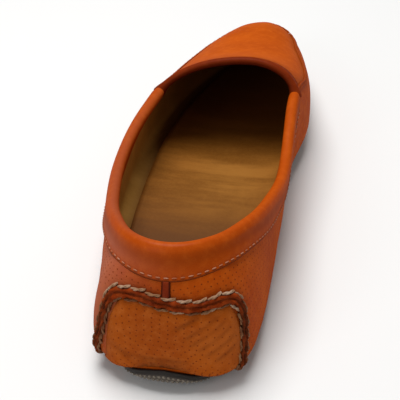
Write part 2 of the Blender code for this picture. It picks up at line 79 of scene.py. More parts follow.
EDGE = [  # place u, height of the collar edge and then of the apron seam: outer side, inner side
    (0.00, 67.0, 67.0), (0.10, 66.4, 66.7), (0.20, 61.4, 63.0), (0.32, 46.5, 50.5), (0.43, 41.5, 41.5),
    (0.58, 47.5, 50.5), (0.67, 41.0, 44.0), (0.80, 36.0, 39.5), (1.00, 34.0, 34.0),
]
PINCH = [  # place u, share by which the ribs draw in towards the crown
    (-0.80, 0.00), (-0.68, -0.12), (-0.58, -0.26), (-0.43, -0.16), (-0.32, -0.02), (-0.26, -0.02), (-0.20, 0.15),
    (-0.15, 0.32), (-0.10, 0.27), (-0.05, 0.17), (0.00, 0.10), (0.05, 0.17), (0.10, 0.28), (0.15, 0.32),
    (0.20, 0.155), (0.26, -0.06), (0.32, -0.12), (0.43, -0.62), (0.58, -0.85), (0.70, -0.40), (0.80, 0.00),
]
print("last:", LENGTH, "mm long,", BALL_WIDTH, "mm at the ball,", HEEL_WIDTH, "mm at the heel")

# %% [markdown]
# A place on the shoe is (u, t). u goes round the foot from 0 at the back of the heel to 1 at the toe tip,
# above 0 on the inner side and below 0 on the outer side. t goes up a rib: 0 under the foot, 0.5 at the
# widest line and 1 on the crown. A bent surface could also be sculpted or pushed out of a box, but
# with a function any seam, hole or stitch can be put at a place and turned to the face there.

# %% Curves between the rows of a table


def smooth(rows, column, at):
    """One column of a table, read between its rows by a cubic that doesn't overshoot."""
    knots = np.array([row[0] for row in rows], float)
    values = np.array([row[column] for row in rows], float)
    step = np.diff(knots)
    slope = np.diff(values) / step
    same = slope[:-1] * slope[1:] > 0
    inner = np.where(same, 2 * slope[:-1] * slope[1:] / np.where(same, slope[:-1] + slope[1:], 1), 0)
    tangent = np.concatenate([[slope[0]], inner, [slope[-1]]])
    at = np.clip(at, knots[0], knots[-1])
    i = np.clip(np.searchsorted(knots, at, side="right") - 1, 0, len(step) - 1)
    f = (at - knots[i]) / step[i]
    swell = f * (1 - f) * step[i] * ((1 - f) * (tangent[i] - slope[i]) - f * (tangent[i + 1] - slope[i]))
    return values[i] + f * (values[i + 1] - values[i]) + swell


def closed_curve(points, steps=16):
    """Closed centripetal curve through the points of the outline."""
    p = np.array(points)
    spans = []
    for i in range(len(p)):
        a, b, c, d = (p[(i + k) % len(p)] for k in (-1, 0, 1, 2))
        gaps = [math.sqrt(np.linalg.norm(q - r)) for q, r in ((b, a), (c, b), (d, c))]
        k0, k1, k2, k3 = np.concatenate([[0.0], np.cumsum(gaps)])
        s = np.linspace(k1, k2, steps, endpoint=False)[:, None]
        ab = ((k1 - s) * a + (s - k0) * b) / (k1 - k0)
        bc = ((k2 - s) * b + (s - k1) * c) / (k2 - k1)
        cd = ((k3 - s) * c + (s - k2) * d) / (k3 - k2)
        abc = ((k2 - s) * ab + (s - k0) * bc) / (k2 - k0)
        bcd = ((k3 - s) * bc + (s - k1) * cd) / (k3 - k1)
        spans.append(((k2 - s) * abc + (s - k1) * bcd) / (k2 - k1))
    return np.concatenate(spans)


OUTLINE_CURVE = closed_curve([(x * width, y * LENGTH) for y, x, width in OUTLINE])
print("outline:", len(OUTLINE), "points, as a curve", len(OUTLINE_CURVE))

# %% Ribs and the face of the last


def rib(u):
    """Foot of the rib at u on the spine, and its outward direction, both in plan."""
    s = np.abs(u)
    along = np.clip((s - HEEL_FAN) / (TOE_FAN - HEEL_FAN), 0, 1)
    turn = (np.clip(s / HEEL_FAN, 0, 1) + np.clip((s - TOE_FAN) / (1 - TOE_FAN), 0, 1)) * math.pi / 2
    y = LENGTH * (HEEL_CENTRE + along * (TOE_CENTRE - HEEL_CENTRE))
    direction = np.stack([np.where(u < 0, -1.0, 1.0) * np.sin(turn), -np.cos(turn)], -1)
    return np.stack([smooth(SPINE, 1, s), y], -1), direction


def reach(u):
    """Length of the rib at u, from the spine to the outline."""
    origin, d = rib(u)
    span = np.roll(OUTLINE_CURVE, -1, 0) - OUTLINE_CURVE
    to = OUTLINE_CURVE - origin[..., None, :]
    dx, dy = d[..., None, 0], d[..., None, 1]
    cross = dx * span[:, 1] - dy * span[:, 0]
    cross = np.where(np.abs(cross) < 1e-9, 1e-9, cross)
    length = (to[..., 0] * span[:, 1] - to[..., 1] * span[:, 0]) / cross
    share = (to[..., 0] * dy - to[..., 1] * dx) / cross
    hit = (share > -1e-6) & (share < 1 + 1e-6) & (length > 0)
    return np.where(hit, length, np.inf).min(-1)


REACH_PLACES = np.linspace(-1, 1, 1201)
REACH = reach(REACH_PLACES)
print("ribs:", REACH.min().round(1), "to", REACH.max().round(1), "mm long")


def surface(u, t):
    """Outer face of the leather at (u, t)."""
    u = (np.asarray(u, float) + 1) % 2 - 1
    t = np.asarray(t, float)
    origin, d = rib(u)
    length = np.interp(u, REACH_PLACES, REACH)
    under = t < 0.5
    angle = np.where(under, t, 1 - t) * math.pi
    at = origin[..., 1] / LENGTH
    power = np.where(under, smooth(PROFILE, 4, at), smooth(PROFILE, 5, at))
    out = np.maximum(np.sin(angle), 0) ** (2 / power)
    rise = np.maximum(np.cos(angle), 0) ** (2 / power)
    bow = np.where(under, 0, smooth(SPINE, 2, np.abs(u)) * (1 - out ** 2))
    length = length * np.where(under, 1, 1 - smooth(PINCH, 1, u) * rise ** 2)
    x = origin[..., 0] + d[..., 0] * length * out
    y = origin[..., 1] + d[..., 1] * length * out + bow
    low, wide, crown = (smooth(PROFILE, column, y / LENGTH) for column in (1, 2, 3))
    z = np.where(under, wide - (wide - low) * rise, wide + (crown - wide) * rise)
    return np.stack([x, y, z], -1)


# %% Slopes and the outward side
U_STEP, T_STEP, POLE = 0.002, 0.004, 0.02  # steps for reading slopes, and how near a centre line they are read


def unit(v):
    return v / np.maximum(np.linalg.norm(v, axis=-1, keepdims=True), 1e-12)


def slopes(u, t):
    """Change of the face with u and with t."""
    by_u = (surface(u + U_STEP, t) - surface(u - U_STEP, t)) / (2 * U_STEP)
    by_t = (surface(u, t + T_STEP) - surface(u, t - T_STEP)) / (2 * T_STEP)
    return by_u, by_t


def normal(u, t):
    """Outward normal; straight down or up on the centre lines, where ribs meet."""
    u, t = np.broadcast_arrays(np.asarray(u, float), np.asarray(t, float))
    n = unit(np.cross(*slopes(u, np.clip(t, POLE, 1 - POLE))))
    n = np.where((t < POLE)[..., None], (0.0, 0.0, -1.0), n)
    return np.where((t > 1 - POLE)[..., None], (0.0, 0.0, 1.0), n)


def skin(u, t, lift):
    """Point a given lift outside the leather's outer face."""
    return surface(u, t) + normal(u, t) * np.asarray(lift, float)[..., None]


# %% Walking on the face


def at_height(u, height):
    """Place t on the rib at u where the face has a given height."""
    u, height = np.broadcast_arrays(np.asarray(u, float), np.asarray(height, float))
    low, high = np.zeros(u.shape), np.ones(u.shape)
    for _ in range(40):
        middle = (low + high) / 2
        below = surface(u, middle)[..., 2] < height
        low, high = np.where(below, middle, low), np.where(below, high, middle)
    return (low + high) / 2


def edge(u):
    """Place t of the collar edge, and of the apron seam ahead of the throat corner."""
    return at_height(u, np.where(np.asarray(u) < 0, smooth(EDGE, 1, np.abs(u)), smooth(EDGE, 2, np.abs(u))))


def slide(u, t, offset):
    """Place reached from (u, t) by a short walk along the face."""
    change = (np.linalg.pinv(np.stack(slopes(u, t), -1)) @ np.asarray(offset, float)[..., None])[..., 0]
    return u + change[..., 0], t + change[..., 1]


def walked(points):
    """Length of leather from the first point to each."""
    return np.concatenate([[0.0], np.cumsum(np.linalg.norm(np.diff(points, axis=0), axis=1))])


def even(u, start, end, count):
    """Places on one rib, an equal length of leather apart."""
    t = np.linspace(start, end, 160)
    walk = walked(surface(u, t))
    return np.interp(np.linspace(0, walk[-1], count), walk, t)


# %% Ribs all round the foot


def ribs_round(heel, side, vamp, toe):
    """Places u all round the foot: toe tip, outer side, heel, inner side, toe tip."""
    spans = ((0.0, HEEL_FAN, heel), (HEEL_FAN, CORNER, side), (CORNER, TOE_FAN, vamp), (TOE_FAN, 1.0, toe))
    half = np.unique(np.concatenate([np.linspace(a, b, n + 1) for a, b, n in spans]).round(6))
    return np.concatenate([-half[::-1], half[1:]])


upper_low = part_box("upper")[0]
widest = (surface(np.linspace(-1, 1, 400), 0.5) + HOME) * MM
print("last against the solid:", widest.min(0).round(4), [round(v, 4) for v in upper_low])

# %% [markdown]
# ## From points to a piece
# Grids of points become meshes here. A value for each point, such as its dirt, its wear and its painted shade, goes in
# as an attribute, so a finish can follow the shoe and not a texture image. Doubles are merged and faces turned
# outwards before a wall is given to a sheet.

# %% Faces between points


def grid_faces(rows, columns, loop=False):
    """Four-sided faces of a grid of points, row by row. With loop the last column joins the first."""
    r = np.arange(rows - 1)[:, None] * columns
    c = np.arange(columns if loop else columns - 1)[None]
    c2 = (c + 1) % columns
    return np.stack([r + c, r + c2, r + columns + c2, r + columns + c], -1).reshape(-1, 4)


def tube_faces(rows, columns):
    """Faces of a closed section that is carried along a path, with a cap on each end."""
    caps = [tuple(range(columns)), tuple(range((rows - 1) * columns, rows * columns))]
    return grid_faces(rows, columns, loop=True).tolist() + caps


def slab_faces(rows, columns):
    """Faces of two grids, one over the other, joined along their last column."""
    sheet, count = grid_faces(rows, columns), rows * columns
    rim = np.arange(1, rows + 1) * columns - 1
    rim_faces = np.stack([rim[:-1], rim[1:], rim[1:] + count, rim[:-1] + count], -1)
    return np.concatenate([sheet, sheet + count, rim_faces]).tolist()


# %% Pieces from points
WELD, SLIVER = 0.00002, 0.000005  # in metres: points this near are merged, edges this short go


def in_scene(name, data):
    """Object with this data, linked to the scene."""
    thing = bpy.data.objects.new(name, data)
    bpy.context.scene.collection.objects.link(thing)
    return thing


def make_mesh(name, points, faces, values, wall=0.0):
    """Plain object from points in mm, with one attribute for each named value, and a wall inwards if asked."""
    mesh = bpy.data.meshes.new(name)
    mesh.from_pydata(((points.reshape(-1, 3) + HOME) * MM).tolist(), [], [tuple(f) for f in faces])
    for label, numbers in values.items():
        layer = mesh.attributes.new(label, "FLOAT", "POINT")
        layer.data.foreach_set("value", np.broadcast_to(numbers, points.shape[:-1]).astype(np.float32).ravel())
    work = bmesh.new()
    work.from_mesh(mesh)
    bmesh.ops.remove_doubles(work, verts=work.verts, dist=WELD)
    bmesh.ops.dissolve_degenerate(work, edges=work.edges, dist=SLIVER)
    bmesh.ops.recalc_face_normals(work, faces=work.faces)
    work.to_mesh(mesh)
    work.free()
    mesh.shade_smooth()
    piece = in_scene(name, mesh)
    if wall:
        thick = piece.modifiers.new("wall", "SOLIDIFY")
        thick.thickness, thick.offset, thick.use_even_offset = wall * MM, -1.0, True
    return piece


def finished(piece, material, slot, *nodes):
    """Gives a piece its finish, puts it on the shoe's one body and lets it stand for its solids."""
    piece.data.materials.clear()
    piece.data.materials.append(material)
    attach(piece, "root")
    if nodes:
        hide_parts(*nodes)
    print(piece.name, len(piece.data.polygons), "faces")
    return piece


# %% [markdown]
# ## Leather
# Worn orange calf: a warm ground that drifts from burnt to light orange, a fine pebble you feel more than
# see, darkening along seams and the floor line, and a soft wax sheen. Painted shade in hollows, folds and under
# edges, painted highlights and a painted pinkish sheen are laid into the colour as well. A painted texture would
# need a file and a map of the shoe. Here each is a node or two on Object coordinates, and the attributes say
# where dirt with painted shade, painted shade alone, wear with painted highlight, and painted sheen lie.

# %% Small helpers for finishes


def feed(tree, node, sockets):
    """Gives each named socket of a node a number, a colour or a link from another node."""
    for label, value in sockets.items():
        if isinstance(value, bpy.types.NodeSocket):
            tree.links.new(value, node.inputs[label])
        else:
            node.inputs[label].default_value = value


def put(tree, kind, sockets=None, **settings):
    """One node with its settings and what goes into it."""
    made = tree.nodes.new(kind)
    for label, value in settings.items():
        setattr(made, label, value)
    feed(tree, made, sockets or {})
    return made


def new_finish(name):
    """A material, its tree, its shader and the coordinates that its patterns lie in."""
    material = bpy.data.materials.new(name)
    material.use_nodes = True
    tree = material.node_tree
    return material, tree, tree.nodes["Principled BSDF"], put(tree, "ShaderNodeTexCoord").outputs["Object"]


def attribute(tree, name):
    return put(tree, "ShaderNodeAttribute", attribute_name=name).outputs["Fac"]


def noise(tree, coords, scale, detail=3.0, roughness=0.55):
    sockets = {"Vector": coords, "Scale": scale, "Detail": detail, "Roughness": roughness}
    return put(tree, "ShaderNodeTexNoise", sockets).outputs["Fac"]


def blend(tree, share, a, b):
    """Colour a going over to colour b."""
    a, b = (c if isinstance(c, bpy.types.NodeSocket) else (*c, 1) for c in (a, b))
    return put(tree, "ShaderNodeMix", {0: share, 6: a, 7: b}, data_type="RGBA").outputs[2]


def maths(tree, a, how, b, clamp=False):
    return put(tree, "ShaderNodeMath", {0: a, 1: b}, operation=how, use_clamp=clamp).outputs[0]


def remap(tree, value, low, high, to_low, to_high):
    sockets = {"Value": value, "From Min": low, "From Max": high, "To Min": to_low, "To Max": to_high}
    return put(tree, "ShaderNodeMapRange", sockets).outputs[0]


def bumped(tree, height, depth, strength):
    """Normal from a height of 0 to 1 that stands for a depth in mm."""
    return put(tree, "ShaderNodeBump", {"Height": height, "Distance": depth * MM, "Strength": strength}).outputs[0]


# %% The leather finish
# Colour of dirt, also used for painted shade at hems, in folds and round raised edges
DIRT_AND_SHADE_COLOUR = (0.06, 0.019, 0.007)
PAINTED_SHEEN_COLOUR = (0.36, 0.13, 0.085)  # painted sheen: the pale, pinkish reflection that leather shows at a grazing angle


def leather(name, deep, middle, pale, rough=(0.36, 0.5), grain=0.1, pebble=900.0, coat=0.09):
    """Worn leather in three shades. Attributes: dirt with painted shade, painted shade, wear with painted highlight,
    and painted sheen.
    """
    material, tree, shader, coords = new_finish(name)
    drift = noise(tree, coords, 38.0, 3.0)
    mottle = noise(tree, coords, 260.0, 4.0, 0.6)
    colour = blend(tree, remap(tree, drift, 0.35, 0.65, 0.0, 1.0), deep, middle)
    colour = blend(tree, remap(tree, mottle, 0.45, 0.75, 0.0, 0.55), colour, pale)
    # Lighter for wear, and as painted highlight on the collar's roll and the patch's inner side
    colour = blend(tree, maths(tree, attribute(tree, "wear_and_highlight"), "MULTIPLY", 0.7), colour, pale)
    # Painted sheen: a pale pinkish reflection laid into the colour
    colour = blend(tree, attribute(tree, "painted_sheen"), colour, PAINTED_SHEEN_COLOUR)
    # Painted shade: darker in hollows, creases, folds and under edges
    colour = blend(tree, attribute(tree, "painted_shade"), colour, [0.36 * c for c in deep])
    patchy = remap(tree, noise(tree, coords, 420.0, 5.0, 0.7), 0.3, 0.7, 0.45, 1.2)
    # Dirt and painted shade take the colour unevenly towards the grime colour
    dirt_and_shade_share = maths(tree, attribute(tree, "dirt_and_shade"), "MULTIPLY", patchy, clamp=True)
    shine = remap(tree, noise(tree, coords, 140.0, 4.0), 0.3, 0.7, *rough)
    cells = put(tree, "ShaderNodeTexVoronoi", {"Vector": coords, "Scale": pebble}, feature="DISTANCE_TO_EDGE")
    pebbles = remap(tree, cells.outputs["Distance"], 0.0, 0.35, 0.0, 0.7)
    pebbles = maths(tree, pebbles, "ADD", maths(tree, mottle, "MULTIPLY", 0.6))
    feed(tree, shader, {
        "Base Color": blend(tree, dirt_and_shade_share, colour, DIRT_AND_SHADE_COLOUR),
        "Roughness": maths(tree, shine, "ADD", maths(tree, dirt_and_shade_share, "MULTIPLY", 0.2)),
        "Normal": bumped(tree, pebbles, grain, 0.6),
        "Specular IOR Level": 0.0, "Coat Weight": coat, "Coat Roughness": 0.36,
    })
    return material


upper_finish = leather("orange_leather", (0.40, 0.054, 0.002), (0.50, 0.082, 0.003), (0.58, 0.118, 0.009))
collar_finish = leather("collar_leather", (0.39, 0.054, 0.002), (0.43, 0.062, 0.002), (0.54, 0.10, 0.008),
                        rough=(0.34, 0.45), grain=0.06, pebble=1100.0, coat=0.12)
patch_finish = leather("patch_leather", (0.36, 0.064, 0.003), (0.44, 0.09, 0.004), (0.52, 0.13, 0.018))
seam_finish = leather("pinched_leather", (0.20, 0.022, 0.003), (0.32, 0.042, 0.004), (0.45, 0.085, 0.014),
                      rough=(0.42, 0.56), coat=0.04)
# The apron's ridge is a darker copy of the upper's leather: painted shade along the toe's edge
apron_shaded_finish = leather("apron_edge_leather", (0.30, 0.042, 0.004), (0.37, 0.060, 0.006), (0.46, 0.095, 0.016))
binding_finish = leather("rolled_edge_leather", (0.21, 0.024, 0.004), (0.28, 0.035, 0.005), (0.36, 0.056, 0.011),
                         rough=(0.40, 0.52), grain=0.06, coat=0.06)
strap_finish = leather("strap_leather", (0.17, 0.017, 0.004), (0.24, 0.029, 0.005), (0.32, 0.05, 0.01))
print("leather finishes:", [m.name for m in bpy.data.materials if m.name.endswith("leather")])

# %% [markdown]
# ## The upper
# One sheet goes from under the foot up to the collar edge, and ahead of the throat on over the vamp.
# Soft creases are laid as troughs between two places on the shoe, as flexing made them: fans in the
# waist of each side, and short ones where the vamp bends behind the toes. A trough is a smooth dip, so it
# takes light like real leather. A cloth simulation would put them where it likes.

# %% Creases of the upper
CREASES = [  # from u, height, to u, height, depth in mm, half width in mm
    (0.545, 38.0, 0.60, 16.0, 0.55, 2.6), (0.585, 40.0, 0.63, 20.0, 0.45, 2.4), (0.500, 30.0, 0.56, 12.0, 0.35, 2.8),
    (0.420, 30.0, 0.36, 14.0, 0.30, 3.2), (0.250, 44.0, 0.30, 26.0, 0.25, 3.5), (-0.560, 38.0, -0.61, 17.0, 0.50, 2.6),
    (-0.600, 40.0, -0.64, 22.0, 0.40, 2.4), (-0.480, 30.0, -0.53, 14.0, 0.35, 3.0),
    (-0.300, 40.0, -0.26, 22.0, 0.30, 3.5), (-0.210, 46.0, -0.24, 30.0, 0.25, 3.0),
    (0.170, 40.0, 0.19, 20.0, 0.25, 2.6),
]


def bell(x, middle, half_width):
    """1 in the middle, falling softly to 0 on both sides."""
    return np.exp(-((x - middle) / half_width) ** 2)


def ramp(x, start, run):
    """0 up to the start, 1 after the run."""
    return np.clip((x - start) / run, 0, 1)


def trough(points, start, end, depth, half_width):
    """Dip along the line between two points of the shoe, dying out at both ends."""
    run = end - start
    share = np.clip(((points - start) @ run) / (run @ run), 0, 1)
    away = np.linalg.norm(points - (start + share[..., None] * run), axis=-1)
    return -depth * bell(away, 0, half_width) * np.sin(math.pi * np.clip(share, 0.02, 0.98)) ** 0.6


def creased(points, table):
    """Lift of the leather at points of the shoe, from all creases of a table."""
    lift = np.zeros(points.shape[:-1])
    for u0, z0, u1, z1, depth, half_width in table:
        start, end = (surface(u, at_height(u, z)) for u, z in ((u0, z0), (u1, z1)))
        lift += trough(points, start, end, depth, half_width)
    return lift


print("creases of the upper:", len(CREASES))

# %% Heel seam path, which the upper needs for its dirt
HEEL_SEAM = [  # place u, height: up the outer side, over the top, down the inner side
    (-0.130, 8.5), (-0.114, 25.0), (-0.107, 40.0), (-0.093, 46.0), (-0.053, 48.0), (0.005, 46.0),
    (0.060, 45.0), (0.105, 45.8), (0.132, 43.5), (0.141, 36.5), (0.134, 22.0), (0.128, 8.5),
]


def heel_seam_path(count):
    """Places along the heel seam, evenly spaced."""
    rows = [(i, u, z) for i, (u, z) in enumerate(HEEL_SEAM)]
    at = np.linspace(0, len(rows) - 1, 400)
    us = smooth(rows, 1, at)
    ts = at_height(us, smooth(rows, 2, at))
    walk = walked(surface(us, ts))
    return tuple(np.interp(np.linspace(0, walk[-1], count), walk, v) for v in (us, ts))


def nearness(points, path, half_width):
    """1 on a path, falling to 0 beside it."""
    best = np.full(points.shape[:-1], np.inf)
    for spot in path:
        best = np.minimum(best, np.linalg.norm(points - spot, axis=-1))
    return bell(best, 0, half_width)


seam_line = surface(*heel_seam_path(120))
print("heel seam:", round(walked(seam_line)[-1]), "mm long")

# %% The upper sheet
SIDE_ROWS, VAMP_ROWS, UPPER_WALL, APRON_START = 44, 26, 1.1, 0.592
ribs = ribs_round(34, 56, 34, 40)
brims = edge(ribs)
sections = []
for u, brim in zip(ribs, brims):
    places = even(u, 0.0, brim, SIDE_ROWS + 1)
    if abs(u) >= CORNER - 1e-6:
        places = np.concatenate([places, even(u, brim, 1.0, VAMP_ROWS + 1)[1:]])
    sections.append(places)
sizes = [len(s) for s in sections]
starts = np.cumsum([0] + sizes)
upper_faces = []
for i in range(len(sections) - 1):
    k = np.arange(min(sizes[i], sizes[i + 1]) - 1)
    here, there = starts[i] + k, starts[i + 1] + k
    upper_faces += np.stack([here, here + 1, there + 1, there], -1).tolist()
upper_u, upper_t, upper_brim = np.repeat(ribs, sizes), np.concatenate(sections), np.repeat(brims, sizes)
bare = surface(upper_u, upper_t)
upper_points = skin(upper_u, upper_t, creased(bare, CREASES))
apron_u = (np.linspace(APRON_START, 2 - APRON_START, 200) + 1) % 2 - 1
apron_line = surface(apron_u, edge(apron_u))
throat_line = np.concatenate([surface(u, np.linspace(edge(u), 1.0, 60)) for u in (-CORNER, CORNER)])
height = upper_points[:, 2]
on_vamp = (np.abs(upper_u) > CORNER) & (upper_t > upper_brim)
# Darker near the floor line and along the seams. Painted shade beside the apron seam, more on the outer side, beside
# the heel seam and in from the throat's edge. Lighter towards the top of the vamp and along the apron seam on its inner
# side. A painted pinkish sheen on the outer side of the heel.
upper_values = {
    "dirt_and_shade": np.clip(0.75 * bell(height, 4, 7.0) + 0.5 * nearness(bare, seam_line, 4.0)
                    + 0.2 * nearness(bare, apron_line, 2.6), 0, 0.9),
    "painted_shade": np.where(upper_u < 0, 0.4, 0.2) * nearness(bare, apron_line, 5.0) * on_vamp
            + 0.25 * nearness(bare, seam_line, 3.0) + 0.55 * nearness(bare, throat_line, 9.0) * on_vamp,
    "wear_and_highlight": (0.35 * ramp(height, 40, 15) + 0.5 * nearness(bare, apron_line, 3.5) * (upper_u > 0)) * on_vamp,
    "painted_sheen": 0.55 * bell(upper_u, -0.17, 0.10) * ramp(height, 10, 14),
}
upper = make_mesh("upper_sheet", upper_points, upper_faces, upper_values, UPPER_WALL)
finished(upper, upper_finish, "upper_leather", "upper")

# %% [markdown]
# ## The lining
# Inside is a thin tan lining, glued to the leather, that has gone olive. It is darker along the footbed
# and towards the toe, with dirt and painted shade.
# A second material on the upper's inner wall would do for plain cloth, but a sheet of its own can be stained by
# itself. It is the upper's sheet again, 1.2 mm further in, so it follows every bend, with a thin wall.

# %% Lining finish
# Dark brown of a worn heel, and the colour of dirt with painted shade along the footbed and towards the toe
HEEL_BROWN, FOOT_DIRT_AND_SHADE = (0.110, 0.040, 0.012), (0.08, 0.021, 0.003)


def worn_lining(name, deep, middle, pale):
    """Worn lining leather, streaked across the foot. Attributes: dirt with painted shade, the heel's brown patch, and
    wear.
    """
    material, tree, shader, coords = new_finish(name)
    across = put(tree, "ShaderNodeMapping", {"Vector": coords, "Scale": (0.45, 2.6, 1.0)}).outputs[0]
    streak = noise(tree, across, 42.0, 5.0, 0.6)
    blotch = noise(tree, coords, 34.0, 3.0, 0.5)
    fleck = noise(tree, coords, 700.0, 4.0, 0.65)
    colour = blend(tree, attribute(tree, "wear_and_highlight"), middle, pale)
    colour = blend(tree, remap(tree, streak, 0.42, 0.62, 0.75, 0.0), colour, deep)
    colour = blend(tree, remap(tree, blotch, 0.5, 0.7, 0.0, 0.6), colour, deep)
    colour = blend(tree, remap(tree, fleck, 0.4, 0.75, 0.0, 0.25), colour, pale)
    colour = blend(tree, attribute(tree, "heel"), colour, HEEL_BROWN)
    feed(tree, shader, {
        "Base Color": blend(tree, attribute(tree, "dirt_and_shade"), colour, FOOT_DIRT_AND_SHADE),
        "Roughness": remap(tree, streak, 0.3, 0.7, 0.5, 0.68),
        "Normal": bumped(tree, maths(tree, fleck, "ADD", streak), 0.15, 0.5),
        "Specular IOR Level": 0.12,
    })
    return material


lining_finish = worn_lining("olive_lining", (0.44, 0.21, 0.038), (0.54, 0.27, 0.055), (0.62, 0.34, 0.09))
insole_finish = worn_lining("tan_footbed", (0.17, 0.058, 0.005), (0.26, 0.092, 0.010), (0.36, 0.15, 0.024))
print("lining finishes:", lining_finish.name, insole_finish.name)

# %% Lining sheet
LINING_DEPTH, LINING_WALL, LINING_FOOT = 1.2, 0.7, 9.5
lining_points = skin(upper_u, upper_t, -LINING_DEPTH)
along, height = lining_points[:, 1], lining_points[:, 2]
# Darker along the footbed and towards the toe: dirt and painted shade. Lighter at mid height by the heel: wear.
lining_values = {
    "dirt_and_shade": np.clip(0.8 * bell(height, LINING_FOOT, 2.2) + 0.6 * ramp(along, 150, 60), 0, 0.92),
    "wear_and_highlight": 0.3 * bell(height, 30, 16) * (along < 140),
}
lining = make_mesh("lining", lining_points, upper_faces, lining_values, LINING_WALL)
finished(lining, lining_finish, "upper_leather", "upper")

# %% [markdown]
# ## The insole
# A thin footbed lies on the floor of the shoe. Feet have polished it tan along the middle and left a dark brown
# patch under the heel. It is darker towards the toe and round its border, with dirt and painted shade. Those
# places could be painted by hand. Here the attributes follow the distance along and across the shoe, which is
# easier to change.

# %% Insole sheet
INSOLE_LEATHER, INSOLE_CLEARANCE, INSOLE_REACH, INSOLE_ROWS, INSOLE_ROUND = 2.5, 0.7, 0.27, 16, 0.5
insole_u = ribs_round(16, 36, 14, 16)
insole_t = np.array([even(u, 0.0, INSOLE_REACH, INSOLE_ROWS + 1) for u in insole_u])
to_border = insole_t / INSOLE_REACH
under, over = (skin(insole_u[:, None], insole_t, -(WALL + INSOLE_CLEARANCE + rise)) for rise in (0.0, INSOLE_LEATHER))
over[..., 2] -= INSOLE_ROUND * to_border ** 6
insole_points = np.stack([under, over])
across, along = insole_points[..., 0], insole_points[..., 1]
# Darker towards the toe and at the border: dirt and painted shade. Dark brown under the heel and polished tan along the
# middle: wear.
insole_values = {
    "dirt_and_shade": np.clip(0.8 * ramp(along, 158, 52) ** 1.2 + 0.5 * ramp(to_border, 0.9, 0.1), 0, 0.94),
    "heel": 0.95 * bell(along, 70, 38),
    "wear_and_highlight": 0.75 * bell(along, 138, 34) * bell(across, 8, 24),
}
insole = make_mesh("footbed", insole_points, slab_faces(*insole_t.shape), insole_values)
finished(insole, insole_finish, "insole_leather", "insole")

# %% [markdown]
# ## The padded collar
# A strip of leather is folded over the edge with a thin roll of foam in it, and stitched down along its hem.
# Its section is drawn at each rib: out of the hem, up the band with a small dip where the stitches pull,
# round the roll and down the inside. Sections are then joined, like a sleeve pulled along the edge, and
# smoothed along it. The hem is lifted clear of the quarter, and both ends tuck in under the throat's roll.
# Padding is often blown up by a cloth simulation, but this roll is thinner than the cells that one needs.

# %% Collar sections
COLLAR_FACING, COLLAR_CLEARANCE, COLLAR_PAD, COLLAR_END = 8.0, 0.4, 1.5, 0.580
COLLAR_TUCK, TUCK_RUN, HEM_LIFT, COLLAR_RIBS, COLLAR_SMOOTHING, ROLL_STEPS = 0.72, 5.0, 0.5, 300, 60, 15
COLLAR_BAND = [(0.0, 13.0), (0.1, 11.0), (0.2, 10.0), (0.4, 8.5), (CORNER, 7.0)]  # place u, width of the band
COLLAR_SWELL = [  # share of the band up from the hem, thickness of leather and foam
    (0.0, 0.55), (0.05, 0.95), (0.11, 0.72), (0.17, 0.85), (0.32, 1.15), (0.55, 1.35), (0.80, 1.65), (0.90, 1.75),
]
BAND_SHARES = np.concatenate([np.linspace(0, 0.2, 9), np.linspace(0.27, 0.9, 9)])
BAND_STEPS = len(BAND_SHARES)


def collar_section(us):
    """Closed section of the collar at each place, and how far up the outside each point is."""
    brim = edge(us)
    rim_points, out = surface(us, brim), normal(us, brim)
    up = unit(slopes(us, brim)[1])
    band = smooth(COLLAR_BAND, 1, np.abs(us))
    inside = -(WALL + COLLAR_CLEARANCE)
    radius = WALL / 2 + COLLAR_CLEARANCE + COLLAR_PAD
    rows, share_up = [], []

    def add(points, share=1.0):
        rows.append(points)
        share_up.append(share)

    def on_face(down, lift):
        return skin(*slide(us, brim, -up * np.reshape(down, (-1, 1))), lift)

    for share in BAND_SHARES:
        add(on_face(band * (1 - share), COLLAR_CLEARANCE + smooth(COLLAR_SWELL, 1, share)), share)
    for angle in np.linspace(0, math.pi, ROLL_STEPS):
        add(rim_points + out * (math.cos(angle) * radius - WALL / 2) + up * math.sin(angle) * radius)
    for share in (0.3, 0.6, 0.85, 1.0):
        add(on_face(COLLAR_FACING * share, inside - COLLAR_PAD * (1 - 0.55 * share ** 2)))
    add(on_face(COLLAR_FACING, inside))
    for across in (inside, COLLAR_CLEARANCE):
        add(rim_points + out * across + up * COLLAR_CLEARANCE)
    for share in (0.5, 0.1):
        add(on_face(band * (1 - share), COLLAR_CLEARANCE), share)
    return np.stack(rows, 1), np.array(share_up)


# %% Collar from its sections
fine_u = np.linspace(-COLLAR_END, COLLAR_END, 900)
fine_walk = walked(surface(fine_u, edge(fine_u)))
collar_walk = np.linspace(0, fine_walk[-1], COLLAR_RIBS)
collar_u = np.interp(collar_walk, fine_walk, fine_u)
collar_points, collar_up = collar_section(collar_u)
for _ in range(COLLAR_SMOOTHING):
    collar_points[1:-1] = (collar_points[:-2] + 2 * collar_points[1:-1] + collar_points[2:]) / 4
brim_out = normal(collar_u, edge(collar_u))
collar_points[:, :BAND_STEPS] += brim_out[:, None] * HEM_LIFT * bell(BAND_SHARES, 0, 0.35)[None, :, None]
to_end = np.minimum(collar_walk, collar_walk[-1] - collar_walk)
tuck = COLLAR_TUCK + (1 - COLLAR_TUCK) * np.sin(ramp(to_end, 0, TUCK_RUN) * math.pi / 2)
core = surface(collar_u, edge(collar_u)) - brim_out * WALL / 2
collar_points = core[:, None] + (collar_points - core[:, None]) * tuck[:, None, None]
roll = np.zeros(collar_points.shape[:2])
roll[:, BAND_STEPS:BAND_STEPS + ROLL_STEPS] = np.sin(np.linspace(0.1, math.pi - 0.1, ROLL_STEPS)) ** 2
outer_run, heel_side = bell(collar_u, -0.32, 0.22)[:, None], bell(collar_u, -0.18, 0.13)[:, None]
on_band = collar_up < 1
